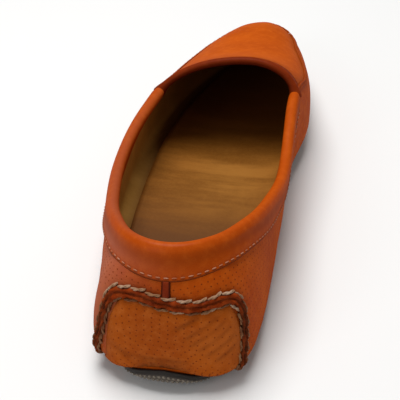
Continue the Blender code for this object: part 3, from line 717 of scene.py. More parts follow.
# Dirt and a painted shadow line along the hem. Painted shade across the band's hollow and on the roll's outer run. The
# roll is lighter with wear and painted highlight, less on its outer run. A painted pinkish sheen on the band at the
# heel's outer side and on the outer roll.
collar_values = {
    "dirt_and_shade": 0.5 * bell(collar_up, 0, 0.05),
    "painted_shade": 0.38 * bell(collar_up, 0.6, 0.28) * on_band + 0.85 * bell(collar_up, 0, 0.07) + 0.22 * outer_run * roll,
    "wear_and_highlight": 0.3 * roll * (1 - outer_run),
    "painted_sheen": 0.5 * heel_side * bell(collar_up, 0.4, 0.35) * on_band + 0.3 * outer_run * roll,
}
collar = make_mesh("padded_collar", collar_points, tube_faces(*roll.shape), collar_values)
finished(collar, collar_finish, "collar_leather", "collar")

# %% [markdown]
# ## The rolled throat edge
# Across the instep the vamp's raw edge is turned over a narrow binding. Its section is a small hook that
# runs from one throat corner over the crown to the other. It grows at the corners, to cover the collar's ends.
# A bevelled curve would be quicker but could twist, so each hook is set on the last's own face.

# %% Throat binding
THROAT_START, THROAT_CLEARANCE, THROAT_LEATHER, THROAT_FACING = -2.0, 0.4, 0.6, 4.0
THROAT_RIBS, HOOK_STEPS, CORNER_GROWTH, CORNER_RUN = 44, 13, 0.6, 5.0
to_middle = WALL / 2 + THROAT_CLEARANCE
hook_radius, hook_inside = to_middle + THROAT_LEATHER, -2 * to_middle
throat_hook = [(-6.0, -0.45), (-4.8, -0.25), (-3.6, 0.0), (-2.4, 0.3), (-1.2, 0.52), (-0.4, 0.6)]  # walk back, lift
throat_hook += [(math.cos(angle) * hook_radius, math.sin(angle) * hook_radius - to_middle)
                for angle in np.linspace(math.pi / 2, -math.pi / 2, HOOK_STEPS)]
throat_hook += [(-THROAT_FACING, hook_inside - THROAT_LEATHER), (-THROAT_FACING, hook_inside),
                (THROAT_CLEARANCE, hook_inside), (THROAT_CLEARANCE, 0.0), (-3.4, 0.0)]
# Painted shade round the hook: faint on its front, darkest underneath and inside
throat_shade = [0.1, 0.1, 0.12, 0.15, 0.2, 0.25, *np.linspace(0.3, 0.9, HOOK_STEPS), 0.9, 0.9, 0.9, 0.9, 0.9]
throat_sections = []
for side in (-1, 1):
    u = side * CORNER
    brim = float(edge(u))
    fine = np.linspace(brim - 0.05, 1.0, 240)
    fine_walk = walked(surface(u, fine))
    start = float(np.interp(THROAT_START, fine_walk - np.interp(brim, fine, fine_walk), fine))
    half = []
    for k, t in enumerate(even(u, start, 1.0, THROAT_RIBS)):
        grow = 1 + CORNER_GROWTH * bell(k * fine_walk[-1] / (THROAT_RIBS - 1), 0, CORNER_RUN)
        by_u, by_t = slopes(u, min(t, 1 - POLE))
        out = unit(np.cross(by_u, by_t))
        back = -side * unit(np.cross(by_t, out))
        if t > 1 - POLE:
            out = unit(out * np.array([0.0, 1.0, 1.0]))
            back = np.array([0.0, -out[2], out[1]])
        half.append([surface(u, t) + back * walk * (grow if walk > 0 else 1)
                     + out * (THROAT_CLEARANCE + (lift + to_middle) * grow - to_middle) for walk, lift in throat_hook])
    throat_sections += half if side < 0 else half[-2::-1]
throat_points = np.array(throat_sections)
throat = make_mesh("throat_roll", throat_points, tube_faces(*throat_points.shape[:2]), {"painted_shade": throat_shade})
finished(throat, binding_finish, "binding_leather", "throat_binding")

# %% [markdown]
# ## Raised seams
# At the heel and round the apron two edges are pinched together and sewn through, so the leather stands up
# in a ridge that puckers between stitches. A ridge is a small section swept along its path on the shoe, a
# little higher and lower with every stitch. Displacing the upper could raise it too, but not so narrow. The
# heel's ridge is narrower and dirtier where it runs down the sides.

# %% Ridges along a path
HEEL_STITCH, APRON_STITCH, RIDGE_CLEARANCE = 6.6, 5.2, 0.15
LEG_TAPER, LEG_DIRT, LEG_TOP, LEG_RUN = 0.3, 0.55, 44.0, 8.0  # the side runs of the heel seam start below LEG_TOP
RIDGE = np.array([  # share of the width across, share of the rise, dirt and painted shade in the fold
    (-0.56, 0.02, 0.8), (-0.5, 0.35, 0.5), (-0.42, 0.68, 0.2), (-0.3, 0.95, 0.05), (-0.17, 0.92, 0.1),
    (-0.06, 0.6, 0.4), (0.0, 0.5, 0.6), (0.06, 0.6, 0.5), (0.17, 0.92, 0.3), (0.3, 0.95, 0.1),
    (0.42, 0.68, 0.2), (0.5, 0.35, 0.5), (0.56, 0.02, 0.8),
])
RAGGED = [(1.7, 0.4), (0.61, 2.1), (2.3, 4.0), (0.83, 1.2), (1.3, 3.1), (0.47, 5.2)]  # waves: stitches long, phase


def ridge(name, us, ts, width, rise, pitch, pucker, dirt_and_shade_scale, legs):
    """Pinched seam on a path, puckered once for each stitch.

    One number scales the dirt and painted shade in its folds and hollows, and legs says where it runs down a side, both
    0 to 1.
    """
    path, out = surface(us, ts), normal(us, ts)
    aside = np.cross(out, unit(np.gradient(path, axis=0)))
    turns = 2 * math.pi * walked(path) / pitch
    beat = 1 + pucker * np.cos(turns)
    ragged = [1 + 1.6 * pucker * np.sin(turns / span + phase) for span, phase in RAGGED]
    width = width * (1 - LEG_TAPER * legs)
    rows, proud = [], []
    for i, (across, share, _) in enumerate(RIDGE):
        place = slide(us, ts, aside * (width * across * ragged[i % len(RAGGED)])[:, None])
        rows.append(skin(*place, RIDGE_CLEARANCE + rise * share * beat * ragged[(i + 2) % len(RAGGED)]))
        proud.append(beat * ragged[i % len(RAGGED)])
    # Dirt and painted shade in the folds, more dirt on the side runs, and painted shade where the ridge dips between
    # puckers
    values = {
        "dirt_and_shade": np.clip(dirt_and_shade_scale * RIDGE[:, 2] + LEG_DIRT * legs[:, None], 0, 1),
        "painted_shade": dirt_and_shade_scale * np.clip(0.1 + 1.5 * (1 - np.stack(proud, 1)), 0, 0.8),
    }
    return make_mesh(name, np.stack(rows, 1), tube_faces(len(us), len(RIDGE)), values)


def seam_legs(us, ts):
    """How far a place of the heel seam is down one of its side runs, 0 to 1."""
    return np.clip((LEG_TOP - surface(us, ts)[:, 2]) / LEG_RUN, 0, 1)


# %% Heel and apron seams
seam_u, seam_t = heel_seam_path(320)
heel_seam = ridge("heel_ridge", seam_u, seam_t, width=4.6, rise=1.7, pitch=HEEL_STITCH, pucker=0.14, dirt_and_shade_scale=0.9,
                  legs=seam_legs(seam_u, seam_t))
finished(heel_seam, seam_finish, "seam_leather", "heel_seam")
apron_seam = ridge("apron_ridge", apron_u, edge(apron_u), width=3.0, rise=0.7, pitch=APRON_STITCH, pucker=0.08,
                   dirt_and_shade_scale=0.3, legs=np.zeros(len(apron_u)))
finished(apron_seam, apron_shaded_finish, "seam_leather", "apron_seam")

# %% [markdown]
# ## The heel patch and the back strap
# The patch is a separate piece of perforated leather sewn in under the heel seam. It bulges a little over
# the stiffener, with slanting creases on its inner side. The short strap above it ties the seam to the collar.
# Both are grids between lines on the last, given a thin wall. Cut from the upper they would have no raised edge.

# %% Heel patch
PATCH_FOOT = [(0.0, 13.2), (0.035, 12.2), (0.07, 9.6), (0.10, 8.4), (0.14, 7.6)]  # place u, height of its lower edge
PATCH_CREASES = [  # from u, height, to u, height, depth, half width
    (0.040, 30.0, 0.100, 40.0, 0.60, 1.1), (0.050, 27.0, 0.108, 37.0, 0.65, 1.0), (0.062, 24.5, 0.114, 33.5, 0.60, 1.0),
    (0.072, 21.5, 0.118, 29.0, 0.55, 1.0), (0.020, 34.0, 0.070, 41.0, 0.45, 1.2), (0.085, 18.0, 0.118, 24.0, 0.45, 1.1),
    (-0.090, 22.0, -0.050, 16.0, 0.40, 1.4), (-0.060, 18.5, 0.050, 18.0, 0.40, 1.3),
]
PATCH_KEEP, PATCH_LIFT, PATCH_BULGE, PATCH_WALL = 2.65, 0.45, 0.85, 0.3  # keep is its distance from the seam's line
PATCH_COLUMNS, PATCH_ROWS, OUTER_TOP, INNER_TOP = 72, 40, -0.093, 0.132
U_PER_MM = HEEL_FAN / (math.pi / 2 * HEEL_CENTRE * LENGTH)  # round the heel
fine_u, fine_t = heel_seam_path(300)
fine_z = surface(fine_u, fine_t)[:, 2]
first, last = int(np.argmax(fine_u >= OUTER_TOP)), int(np.argmax(fine_u >= INNER_TOP))
patch_up, patch_across = np.linspace(0, 1, PATCH_ROWS + 1), np.linspace(0, 1, PATCH_COLUMNS + 1)
patch_u = np.zeros((PATCH_COLUMNS + 1, PATCH_ROWS + 1))
patch_t = np.zeros_like(patch_u)
for k, v in enumerate(patch_up):
    outer_at = np.interp(fine_z[0] + v * (fine_z[first] - fine_z[0]), fine_z[:first + 1], fine_u[:first + 1])
    inner_at = np.interp(fine_z[-1] + v * (fine_z[last] - fine_z[-1]), fine_z[:last - 1:-1], fine_u[:last - 1:-1])
    us = np.linspace(outer_at + PATCH_KEEP * U_PER_MM, inner_at - PATCH_KEEP * U_PER_MM, PATCH_COLUMNS + 1)
    foot = at_height(us, smooth(PATCH_FOOT, 1, np.abs(us)))
    head = at_height(us, np.interp(us, fine_u[first:last + 1], fine_z[first:last + 1]) - PATCH_KEEP)
    patch_u[:, k], patch_t[:, k] = us, foot + v * (head - foot)
side_fall, row_fall = (np.minimum(share, share[::-1]) for share in (patch_across, patch_up))
bulge = ramp(side_fall, 0, 0.10)[:, None] ** 0.5 * ramp(row_fall, 0, 0.12)[None] ** 0.5
patch_creases = creased(surface(patch_u, patch_t), PATCH_CREASES)
patch_points = skin(patch_u, patch_t, PATCH_LIFT + PATCH_BULGE * bulge + patch_creases * bulge)
# Darker along the foot and round the bulge's edges: dirt and painted shade. Painted shade in the creases. Lighter on
# the inner side at mid height: wear and painted sheen.
patch_values = {
    "dirt_and_shade": np.clip(0.5 * bell(patch_up, 0, 0.14) + 0.4 * (1 - bulge), 0, 0.9),
    "painted_shade": np.clip(-patch_creases * 1.3, 0, 0.6),
    "wear_and_highlight": 0.6 * ramp(patch_u, 0.03, 0.06) * bell(patch_points[..., 2], 28, 10),
}
patch = make_mesh("punched_patch", patch_points, grid_faces(*patch_u.shape).tolist(), patch_values, PATCH_WALL)
finished(patch, patch_finish, "patch_leather", "heel_patch")

# %% Back strap
STRAP_WIDTH, STRAP_PLACE, STRAP_FOOT, STRAP_HEAD, STRAP_LIFT = 4.6, 0.006, 48.6, 55.5, 0.95
STRAP_COLUMNS, STRAP_ROWS, STRAP_ROUND = 17, 13, 0.6
strap_side = np.linspace(-1, 1, STRAP_COLUMNS)[:, None]
strap_u = STRAP_PLACE + strap_side * STRAP_WIDTH / 2 * U_PER_MM
strap_t = at_height(strap_u, np.linspace(STRAP_FOOT, STRAP_HEAD, STRAP_ROWS)[None])
strap_points = skin(strap_u, strap_t, STRAP_LIFT - STRAP_ROUND * strap_side ** 4)
# Darker towards its rounded sides: painted shade, with some dirt
strap_values = {"painted_shade": ramp(np.abs(strap_side), 0.45, 0.4), "dirt_and_shade": 0.25 * strap_side ** 2}
strap = make_mesh("back_tab", strap_points, grid_faces(*strap_t.shape).tolist(), strap_values, PATCH_WALL)
finished(strap, strap_finish, "binding_leather", "back_strap")

# %% [markdown]
# ## Rubber pads
# Driving shoes have no sole board: rubber pads come through to the floor at the heel and the forefoot, and
# the heel pad climbs a little way up the back. Each is a thin flange and a thicker block with a flat foot.
# The foot sits a little above the floor here, because small nubs will stand on it down to the floor. A pad could
# be cut from a block, but two grids joined at their rim keep the same gap to the leather all over.

# %% Pad shapes
PAD_CLEARANCE, PAD_CENTRE, PAD_BLOCK_RIM, PAD_FLANGE, PAD_BLOCK, PAD_STEP = 0.4, 6.4, 2.2, 1.0, 0.955, 0.012
NUB_RISE = 0.6
HEEL_PAD = [(0.0, 0.485), (0.035, 0.455), (0.07, 0.35), (0.10, 0.27), (0.2, 0.235), (0.28, 0.22), (0.325, 0.15),
            (0.345, 0.0)]  # place u, place t of its rim
FOREFOOT_PAD = [(0.5, 0.0), (0.52, 0.16), (0.57, 0.25), (0.7, 0.29), (0.8, 0.29), (0.9, 0.29), (1.0, 0.30)]
HEEL_PAD_END, FOREFOOT_PAD_START, TIP_RUN = 0.345, 0.5, 0.034
PAD_TIP = np.array([0.0, 0.004, 0.009, 0.014, 0.022, 0.03])  # extra ribs where a pad narrows to its end
print("pads: heel to u", HEEL_PAD_END, "and forefoot from u", FOREFOOT_PAD_START)

# %% Rubber


def rubber(name, colour, dusty):
    """Dull, slightly dusty rubber with a moulded skin."""
    material, tree, shader, coords = new_finish(name)
    dust = noise(tree, coords, 330.0, 5.0, 0.65)
    ground = blend(tree, remap(tree, dust, 0.45, 0.75, 0.0, 0.7), colour, dusty)
    # Painted shade takes the rubber nearly to black
    feed(tree, shader, {
        "Base Color": blend(tree, attribute(tree, "painted_shade"), ground, (0.008, 0.006, 0.005)),
        "Roughness": remap(tree, dust, 0.3, 0.7, 0.55, 0.75),
        "Normal": bumped(tree, noise(tree, coords, 1500.0, 2.0), 0.08, 0.5),
        "Specular IOR Level": 0.35,
    })
    return material


# Both colours are partly painted light: made lighter where the pads sit in shade under the shoe, the nubs most
rubber_finish = rubber("grey_rubber", (0.08, 0.06, 0.045), (0.14, 0.11, 0.085))
nub_finish = rubber("nub_rubber", (0.18, 0.15, 0.115), (0.26, 0.22, 0.17))
print("rubber finishes:", rubber_finish.name, nub_finish.name)

# %% Pads


def pad_depth(share):
    """Thickness of the pad below the leather, by the share of the way to its rim."""
    block = PAD_CENTRE + (PAD_BLOCK_RIM - PAD_CENTRE) * np.minimum(share / PAD_BLOCK, 1) ** 1.3
    return block + (PAD_FLANGE - block) * ramp(share, PAD_BLOCK, PAD_STEP)


def pad(name, us, table, node):
    """Pad from its places round the foot and a table of how far up each rib it goes."""
    shares = np.append(np.linspace(0, 0.9, 19), [PAD_BLOCK, PAD_BLOCK + PAD_STEP / 2, PAD_BLOCK + PAD_STEP, 0.985, 1.0])
    ts = shares * smooth(table, 1, np.abs(us))[:, None]
    top, foot = (skin(us[:, None], ts, PAD_CLEARANCE + depth) for depth in (0.0, pad_depth(shares)))
    foot[..., 2] = np.maximum(foot[..., 2], NUB_RISE)
    # A painted shadow line on the thin flange round the block
    piece = make_mesh(name, np.stack([top, foot]), slab_faces(*ts.shape), {"painted_shade": 0.8 * ramp(shares, 0.94, 0.02)})
    return finished(piece, rubber_finish, "pad_rubber", node)


heel_ribs = ribs_round(30, 40, 4, 4)
heel_ribs = heel_ribs[np.abs(heel_ribs) < HEEL_PAD_END - TIP_RUN]
heel_tip = HEEL_PAD_END - PAD_TIP
pad("heel_rubber", np.concatenate([-heel_tip, heel_ribs, heel_tip[::-1]]), HEEL_PAD, "heel_pad")
fore_half = ribs_round(4, 60, 24, 30)
fore_half = np.append(FOREFOOT_PAD_START + PAD_TIP, fore_half[fore_half > FOREFOOT_PAD_START + TIP_RUN])
pad("forefoot_rubber", np.append(fore_half, -fore_half[-2::-1]), FOREFOOT_PAD, "forefoot_pad")

# %% [markdown]
# ## Things that repeat
# Stitches, pinholes and nubs are one small shape laid many times. A Geometry Nodes tree does that: it takes
# points, turns the shape on each to the point's own lie and face, and gives it a finish. An array modifier
# couldn't turn each to its own face. The points come from the last, so a stitch knows its seam. Instances are
# made real at the end, because an exported file needs real faces.

# %% Tree that lays a shape on points


def lay_tree(name, build_shape, sizes):
    """Geometry Nodes tree with named sizes. build_shape adds the nodes of the small shape."""
    tree = bpy.data.node_groups.new(name, "GeometryNodeTree")
    inputs = {"Points": ("Geometry", None), **{label: ("Float", size) for label, size in sizes.items()},
              "Uneven": ("Float", 0.1), "Seed": ("Int", 1), "Finish": ("Material", None)}
    for label, (kind, value) in inputs.items():
        socket = tree.interface.new_socket(label, in_out="INPUT", socket_type="NodeSocket" + kind)
        if value is not None:
            socket.default_value = value
    tree.interface.new_socket("Pieces", in_out="OUTPUT", socket_type="NodeSocketGeometry")
    inlet = put(tree, "NodeGroupInput").outputs
    lie, face = (put(tree, "GeometryNodeInputNamedAttribute", {"Name": label}, data_type="FLOAT_VECTOR").outputs[0]
                 for label in ("lie", "face"))
    turned = put(tree, "FunctionNodeAlignRotationToVector", {"Vector": lie}, axis="X").outputs[0]
    turned = put(tree, "FunctionNodeAlignRotationToVector", {"Rotation": turned, "Vector": face}, axis="Z",
                 pivot_axis="X").outputs[0]
    size = put(tree, "FunctionNodeRandomValue", data_type="FLOAT")
    live = {socket.name: socket for socket in size.inputs if socket.enabled}
    tree.links.new(maths(tree, 1.0, "SUBTRACT", inlet["Uneven"]), live["Min"])
    tree.links.new(maths(tree, 1.0, "ADD", inlet["Uneven"]), live["Max"])
    tree.links.new(inlet["Seed"], live["Seed"])
    spread = put(tree, "GeometryNodeInstanceOnPoints", {
        "Points": inlet["Points"], "Instance": build_shape(tree, inlet), "Rotation": turned,
        "Scale": [socket for socket in size.outputs if socket.enabled][0]}).outputs[0]
    real = put(tree, "GeometryNodeRealizeInstances", {"Geometry": spread}).outputs[0]
    smoothed = put(tree, "GeometryNodeSetShadeSmooth", {0: real}).outputs[0]
    done = put(tree, "GeometryNodeSetMaterial", {"Geometry": smoothed, "Material": inlet["Finish"]}).outputs[0]
    put(tree, "NodeGroupOutput", {"Pieces": done})
    return tree


# %% Laying a shape on a row of spots


def lay(name, tree, row, finish, slot, seed, **sizes):
    """Piece of a shape laid on a row of spots in mm, each with where its length points and its outward side."""
    spots, lie, face = row[:3]
    mesh = bpy.data.meshes.new(name + "_points")
    mesh.from_pydata(((spots + HOME) * MM).tolist(), [], [])
    for label, vectors in (("lie", lie), ("face", face)):
        layer = mesh.attributes.new(label, "FLOAT_VECTOR", "POINT")
        layer.data.foreach_set("vector", vectors.astype(np.float32).ravel())
    carrier = in_scene(name + "_points", mesh)
    modifier = carrier.modifiers.new("lay", "NODES")
    modifier.node_group = tree
    wanted = {"Seed": seed, "Finish": finish, **sizes}
    for item in tree.interface.items_tree:
        if item.in_out == "INPUT" and item.name in wanted:
            modifier[item.identifier] = wanted[item.name]
    plain = bpy.data.meshes.new_from_object(carrier.evaluated_get(bpy.context.evaluated_depsgraph_get()))
    plain.name = name
    bpy.data.objects.remove(carrier)
    bpy.data.meshes.remove(mesh)
    for label in ("lie", "face"):
        if label in plain.attributes:
            plain.attributes.remove(plain.attributes[label])
    return finished(in_scene(name, plain), finish, slot)


# %% [markdown]
# Thread is waxed linen by hand at the heel, and fine spun thread by machine along the collar. The small
# shapes: a plump grain for a machine stitch, a knot or a nub, two twisted strands for a hand stitch, and a
# disc for a pinhole. Each has only a few dozen faces, because it is laid so often.

# %% The small shapes


def grain_shape(tree, inlet):
    """Plump grain, longer than wide."""
    ball = put(tree, "GeometryNodeMeshUVSphere", {"Segments": 8, "Rings": 6, "Radius": 0.5}).outputs[0]
    size = put(tree, "ShaderNodeCombineXYZ", {"X": inlet["Length"], "Y": inlet["Width"], "Z": inlet["Height"]})
    return put(tree, "GeometryNodeTransform", {"Geometry": ball, "Scale": size.outputs[0]}).outputs[0]


def twisted_shape(tree, inlet):
    """Two strands twisted together, thinner where they go into the leather."""
    def times(a, b):
        return maths(tree, a, "MULTIPLY", b)

    def moved(shape, **sockets):
        return put(tree, "GeometryNodeTransform", {"Geometry": shape, **sockets}).outputs[0]

    radius = times(inlet["Thread"], 0.18)
    strand = put(tree, "GeometryNodeCurveSpiral", {"Resolution": 14, "Rotations": 1.0, "Start Radius": radius,
                                                   "End Radius": radius, "Height": inlet["Length"]}).outputs[0]
    pair = put(tree, "GeometryNodeJoinGeometry")
    for half in (strand, moved(strand, Rotation=(0, 0, math.pi))):
        tree.links.new(half, pair.inputs[0])
    share = put(tree, "GeometryNodeSplineParameter").outputs["Factor"]
    middle = times(maths(tree, share, "SUBTRACT", 0.5), 2.0)
    square = times(middle, middle)
    taper = maths(tree, 1.0, "SUBTRACT", times(maths(tree, square, "POWER", 2.0), 0.45))
    lines = put(tree, "GeometryNodeSetCurveRadius", {"Curve": pair.outputs[0], "Radius": taper}).outputs[0]
    down = put(tree, "ShaderNodeCombineXYZ", {"X": times(square, inlet["Sink"])}).outputs[0]
    lines = put(tree, "GeometryNodeSetPosition", {"Geometry": lines, "Offset": down}).outputs[0]
    ring = put(tree, "GeometryNodeCurvePrimitiveCircle", {"Resolution": 6, "Radius": times(inlet["Thread"], 0.32)})
    solid = put(tree, "GeometryNodeCurveToMesh", {"Curve": lines, "Profile Curve": ring.outputs[0], "Fill Caps": True})
    centre = put(tree, "ShaderNodeCombineXYZ", {"Z": times(inlet["Length"], -0.5)}).outputs[0]
    return moved(moved(solid.outputs[0], Translation=centre), Rotation=(0, math.pi / 2, 0))


def disc_shape(tree, inlet):
    """Disc that reads as a punched hole."""
    sockets = {"Vertices": 10, "Radius": inlet["Radius"]}
    return put(tree, "GeometryNodeMeshCircle", sockets, fill_type="TRIANGLE_FAN").outputs[0]


stitch_tree = lay_tree("machine_stitch", grain_shape, {"Length": 0.0023, "Width": 0.0006, "Height": 0.0005})
hand_tree = lay_tree("hand_stitch", twisted_shape, {"Length": 0.0060, "Thread": 0.00140, "Sink": 0.0009})
hole_tree = lay_tree("pinhole", disc_shape, {"Radius": 0.00030})
nub_tree = lay_tree("nub", grain_shape, {"Length": 0.0015, "Width": 0.0015, "Height": 0.0012})
print("trees:", [tree.name for tree in (stitch_tree, hand_tree, hole_tree, nub_tree)])

# %% Thread and hole finishes


def thread(name, clean, worn, fade):
    """Spun thread, worn in places. Fade is how much of it has gone brown."""
    material, tree, shader, coords = new_finish(name)
    patchy = remap(tree, noise(tree, coords, 160.0, 4.0, 0.6), 0.5 - fade / 2, 0.75 - fade / 2, 0.0, 1.0)
    feed(tree, shader, {
        "Base Color": blend(tree, patchy, clean, worn), "Roughness": 0.8, "Specular IOR Level": 0.2,
        "Normal": bumped(tree, noise(tree, coords, 2600.0, 2.0), 0.1, 0.6),
    })
    return material


machine_thread = thread("machine_thread", (0.47, 0.22, 0.13), (0.36, 0.11, 0.045), 0.35)
light_thread = thread("waxed_thread", (0.45, 0.30, 0.20), (0.27, 0.13, 0.06), 0.35)
brown_thread = thread("dirty_thread", (0.33, 0.17, 0.075), (0.15, 0.052, 0.018), 0.4)
# The disc takes the deep orange-brown of a hole's shaded inside: painted shade
hole_finish, hole_nodes, hole_shader, hole_at = new_finish("punched_hole")
hole_shade_colour = blend(hole_nodes, noise(hole_nodes, hole_at, 120.0), (0.15, 0.02, 0.002), (0.24, 0.038, 0.003))
feed(hole_nodes, hole_shader, {"Base Color": hole_shade_colour, "Roughness": 0.9, "Specular IOR Level": 0.1})
print("thread and hole finishes:", [m.name for m in (machine_thread, light_thread, brown_thread, hole_finish)])

# %% [markdown]
# ## Stitches
# A row of stitches is a path on the shoe, cut into equal steps. Placed one by one by hand, stitches would stay
# behind when a seam moves, and these go with it. The machine row runs just above the collar's
# hem. Two hand rows flank the heel ridge: the upper one pale over the top, the lower one and the two side
# runs brown with dirt. The hand thread ends in a knot at the foot of each side.

# %% Rows of stitches


def row_of(path, out, pitch, offset=0.0):
    """Spots along a path at a pitch, with the way they lie and face, and their distance along it."""
    walk = walked(path)
    at = np.arange(pitch / 2 + offset, walk[-1], pitch)
    spots, lie, face = (np.stack([np.interp(at, walk, column) for column in rows.T], -1)
                        for rows in (path, unit(np.gradient(path, axis=0)), out))
    return spots, unit(lie), unit(face), at


HEM_COLUMN, HEM_ENDS, MACHINE_PITCH, MACHINE_LIFT = 5, 4, 3.4, 0.26
SHOE_MIDDLE = np.array([0, 90, 40])
hem_before, hem_line, hem_after = (collar_points[HEM_ENDS:-HEM_ENDS, HEM_COLUMN + k] for k in (-1, 0, 1))
hem_out = unit(np.cross(hem_after - hem_before, np.gradient(hem_line, axis=0)))
hem_out *= np.sign((hem_out * (hem_line - SHOE_MIDDLE)).sum(1).mean())
machine_row = row_of(hem_line + hem_out * MACHINE_LIFT, hem_out, MACHINE_PITCH)
lay("collar_stitches", stitch_tree, machine_row, machine_thread, "collar_leather", 3, Uneven=0.08)

# %% Hand stitches on the heel seam, and the knots where their thread ends
HAND_SLANT, PALE_FROM, PALE_TO, LOWER_PALE_FROM = 0.16, 0.24, 0.76, 0.45
HAND_ROWS = [("upper", 2.6, 1.2, 0.0), ("lower", -2.8, 0.9, HEEL_STITCH / 2)]  # name, off the ridge's line, lift, shift
KNOT_LIFT, KNOT_LENGTH, KNOT_WIDTH, KNOT_HEIGHT = 1.4, 5.0, 3.6, 3.0
seam_u, seam_t = heel_seam_path(600)
seam_out, seam_run = normal(seam_u, seam_t), unit(np.gradient(surface(seam_u, seam_t), axis=0))
seam_aside = np.cross(seam_out, seam_run)
narrowing = 1 - LEG_TAPER * seam_legs(seam_u, seam_t)
for name, across, lift, shift in HAND_ROWS:
    beside = slide(seam_u, seam_t, seam_aside * (across * narrowing)[:, None])
    path = skin(*beside, lift)
    spots, lie, face, at = row_of(path, normal(*beside), HEEL_STITCH, shift)
    lie = unit(lie + HAND_SLANT * np.cross(face, lie))
    share = at / walked(path)[-1]
    pale = (share > PALE_FROM) & (share < PALE_TO)
    if name == "lower":
        pale &= (share > LOWER_PALE_FROM) & (np.arange(len(at)) % 2 == 1)
    for label, chosen, finish in (("pale", pale, light_thread), ("brown", ~pale, brown_thread)):
        lay(f"heel_stitches_{name}_{label}", hand_tree, (spots[chosen], lie[chosen], face[chosen]), finish,
            "seam_leather", 5, Uneven=0.08)
ends = [0, -1]
knot_row = (skin(seam_u[ends], seam_t[ends], KNOT_LIFT), seam_run[ends], seam_out[ends])
lay("heel_knots", stitch_tree, knot_row, brown_thread, "seam_leather", 9, Length=KNOT_LENGTH * MM,
    Width=KNOT_WIDTH * MM, Height=KNOT_HEIGHT * MM)

# %% [markdown]
# ## Pinholes
# The quarters and the heel patch are punched with fine holes in staggered rows, so the foot can breathe. A
# hole is under a millimetre wide. Cutting thousands of them through the wall would make a heavy mesh for no
# gain, so each is a small disc that lies on the leather, painted dark for the shade inside a hole.

# %% Holes in the quarters and the patch
HOLE_PITCH, HOLE_ROWS, PATCH_PITCH, HOLE_COUNT, HOLE_LIFT = 2.9, 2.4, 3.4, 22, 0.05
HOLE_START, HOLE_END, HOLE_LOWEST, SEAM_KEEP = 2.6, 0.50, 10.5, 4.6  # below the hem, last u, height, from the seam
COLUMNS, STEPS, LOWEST_T = 500, 240, 0.30
PATCH_HALF, PATCH_FRONT, PATCH_TOP = 33, 16, 45  # the block of room that the patch takes up


def hem_below(us):
    """Place t of the collar's hem."""
    brim = edge(us)
    up = unit(slopes(us, brim)[1])
    band = smooth(COLLAR_BAND, 1, np.minimum(np.abs(us), CORNER))
    return slide(us, brim, -up * band[:, None])[1]


hole_rows = []
for low_u, high_u in ((-HOLE_END, 0.0), (0.0, HOLE_END)):
    us = np.linspace(low_u, high_u, COLUMNS)
    down = np.linspace(hem_below(us), LOWEST_T, STEPS, axis=1)
    walks = [walked(column) for column in surface(us[:, None], down)]
    for k in range(HOLE_COUNT):
        ts = np.array([np.interp(HOLE_START + k * HOLE_ROWS, walk, column) for walk, column in zip(walks, down)])
        line = skin(us, ts, creased(surface(us, ts), CREASES) + HOLE_LIFT)
        row = row_of(line, normal(us, ts), HOLE_PITCH, HOLE_PITCH / 2 * (k % 2))
        x, y, z = row[0].T
        under_patch = (np.abs(x) < PATCH_HALF) & (y < PATCH_FRONT) & (z < PATCH_TOP)
        clear = (z > HOLE_LOWEST) & (nearness(row[0], seam_line, 1.0) < math.exp(-SEAM_KEEP ** 2)) & ~under_patch
        hole_rows.append([part[clear] for part in row])
for k, column in enumerate(range(3, PATCH_ROWS - 2, 3)):
    out = normal(patch_u[2:-2, column], patch_t[2:-2, column])
    line = patch_points[2:-2, column] + out * HOLE_LIFT
    hole_rows.append(row_of(line, out, PATCH_PITCH, PATCH_PITCH / 2 * (k % 2)))
all_holes = [np.concatenate(parts) for parts in zip(*hole_rows)]
lay("pinholes", hole_tree, all_holes, hole_finish, "upper_leather", 7, Uneven=0.18)
print("pinholes:", len(all_holes[0]))

# %% [markdown]
# ## Nubs under the pads
# The rubber is moulded with rows of low nubs. A bump in the finish could draw them, but they break the pad's
# outline, so they are real. Each stands on the pad's own face, and those underneath end just at the floor.

# %% Nubs on both pads
NUB_WIDTH, NUB_PITCH, NUB_ROWS, NUB_GAP = 1.5, 2.1, 12, 0.05  # the gap keeps a nub's end off the floor
NUB_GRAIN = np.array([0.3, 1.0, 0.2])


def lay_nubs(name, from_u, to_u, table):
    """Nubs on a pad's block, in staggered rows."""
    us = np.linspace(from_u, to_u, 1400)
    rim = smooth(table, 1, np.abs((us + 1) % 2 - 1))
    rows = []
    for k, share in enumerate(np.linspace(0.06, 0.92, NUB_ROWS)):
        base = skin(us, rim * share, PAD_CLEARANCE + pad_depth(share))
        base[:, 2] = np.maximum(base[:, 2], NUB_RISE)
        out = normal(us, np.maximum(rim * share, POLE + 0.001))
        out[base[:, 2] <= NUB_RISE + 0.01] = (0.0, 0.0, -1.0)
        rows.append(row_of(base, out, NUB_PITCH, NUB_PITCH / 2 * (k % 2)))
    spots, _, face, _ = (np.concatenate(parts) for parts in zip(*rows))
    lay(name, nub_tree, (spots, unit(np.cross(face, NUB_GRAIN)), face), nub_finish, "pad_rubber", 11,
        Length=NUB_WIDTH * MM, Width=NUB_WIDTH * MM, Height=2 * (NUB_RISE - NUB_GAP) * MM, Uneven=0.04)


lay_nubs("heel_nubs", -0.34, 0.34, HEEL_PAD)
lay_nubs("forefoot_nubs", 0.505, 1.495, FOREFOOT_PAD)

# %% [markdown]
# ## Floor, light and camera
# A pale floor with broad soft light from above and from the camera's side. The camera keeps the
# viewpoint that was worked out for the shoe: behind its heel, some 37 degrees down, a little rolled.

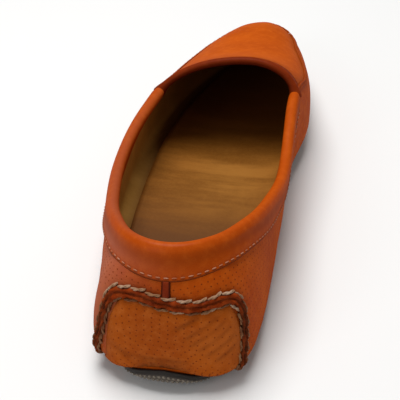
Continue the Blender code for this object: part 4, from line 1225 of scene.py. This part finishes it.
# %% Floor
FLOOR = 4.0  # half its side, in metres
floor_mesh = bpy.data.meshes.new("floor")
corners = [(-FLOOR, -FLOOR, 0), (FLOOR, -FLOOR, 0), (FLOOR, FLOOR, 0), (-FLOOR, FLOOR, 0)]
floor_mesh.from_pydata(corners, [], [(0, 1, 2, 3)])
floor = in_scene("floor", floor_mesh)
floor_finish, floor_nodes, floor_shader, _ = new_finish("pale_floor")
feed(floor_nodes, floor_shader, {"Base Color": (0.86, 0.86, 0.85, 1), "Roughness": 0.8})
floor_mesh.materials.append(floor_finish)
print("floor:", 2 * FLOOR, "m wide")

# %% Light
SHOE_AT = Vector((0, 0, 0.03))
world = bpy.data.worlds.new("studio")
world.use_nodes = True
feed(world.node_tree, world.node_tree.nodes["Background"], {"Color": (1.0, 0.99, 0.98, 1), "Strength": 0.27})
bpy.context.scene.world = world
bpy.context.scene.view_settings.view_transform = "Standard"


def softbox(name, at, size, watts, colour=(1, 1, 1)):
    """Round soft light that looks at the shoe."""
    lamp = bpy.data.lights.new(name, "AREA")
    lamp.shape, lamp.size, lamp.energy, lamp.color = "DISK", size, watts, colour
    box = in_scene(name, lamp)
    box.location = at
    box.rotation_mode = "QUATERNION"
    box.rotation_quaternion = (SHOE_AT - Vector(at)).to_track_quat("-Z", "Y")


softbox("key", at=(-0.15, 0.1, 1.2), size=0.8, watts=14.0)
softbox("fill", at=(-0.5, -0.9, 0.6), size=0.6, watts=1.7, colour=(0.95, 0.96, 1.0))
print("lights:", [lamp.name for lamp in bpy.data.lights])

# %% Camera
EYE = np.array([73.537, -299.680, 333.063])
YAW, PITCH, ROLL = -0.042, 0.653, 0.070
PHOTO_FOCAL, PHOTO_SIDE, ENLARGE, SENSOR = 666.24, 400.0, 1.56, 36.0
AIM = (123.0, 193.0)  # the pixel of the photo that comes to the middle
forward = np.array([math.sin(YAW) * math.cos(PITCH), math.cos(YAW) * math.cos(PITCH), -math.sin(PITCH)])
right = unit(np.cross(forward, (0, 0, 1)))
up = np.cross(right, forward)
right, up = (math.cos(ROLL) * right + math.sin(ROLL) * up, -math.sin(ROLL) * right + math.cos(ROLL) * up)
gaze = unit(forward * PHOTO_FOCAL + right * (AIM[0] - PHOTO_SIDE / 2) - up * (AIM[1] - PHOTO_SIDE / 2))
gaze_right = unit(np.cross(gaze, up))
gaze_up = np.cross(gaze_right, gaze)
camera = bpy.data.cameras.new("camera")
camera.sensor_width, camera.lens, camera.clip_start = SENSOR, SENSOR * PHOTO_FOCAL * ENLARGE / PHOTO_SIDE, 0.01
eye = in_scene("camera", camera)
to_world = np.eye(4)
to_world[:3] = np.stack([gaze_right, gaze_up, -gaze, (EYE + HOME) * MM], 1)
eye.matrix_world = Matrix(to_world.tolist())
bpy.context.scene.camera = eye
print("lens", round(camera.lens, 1))
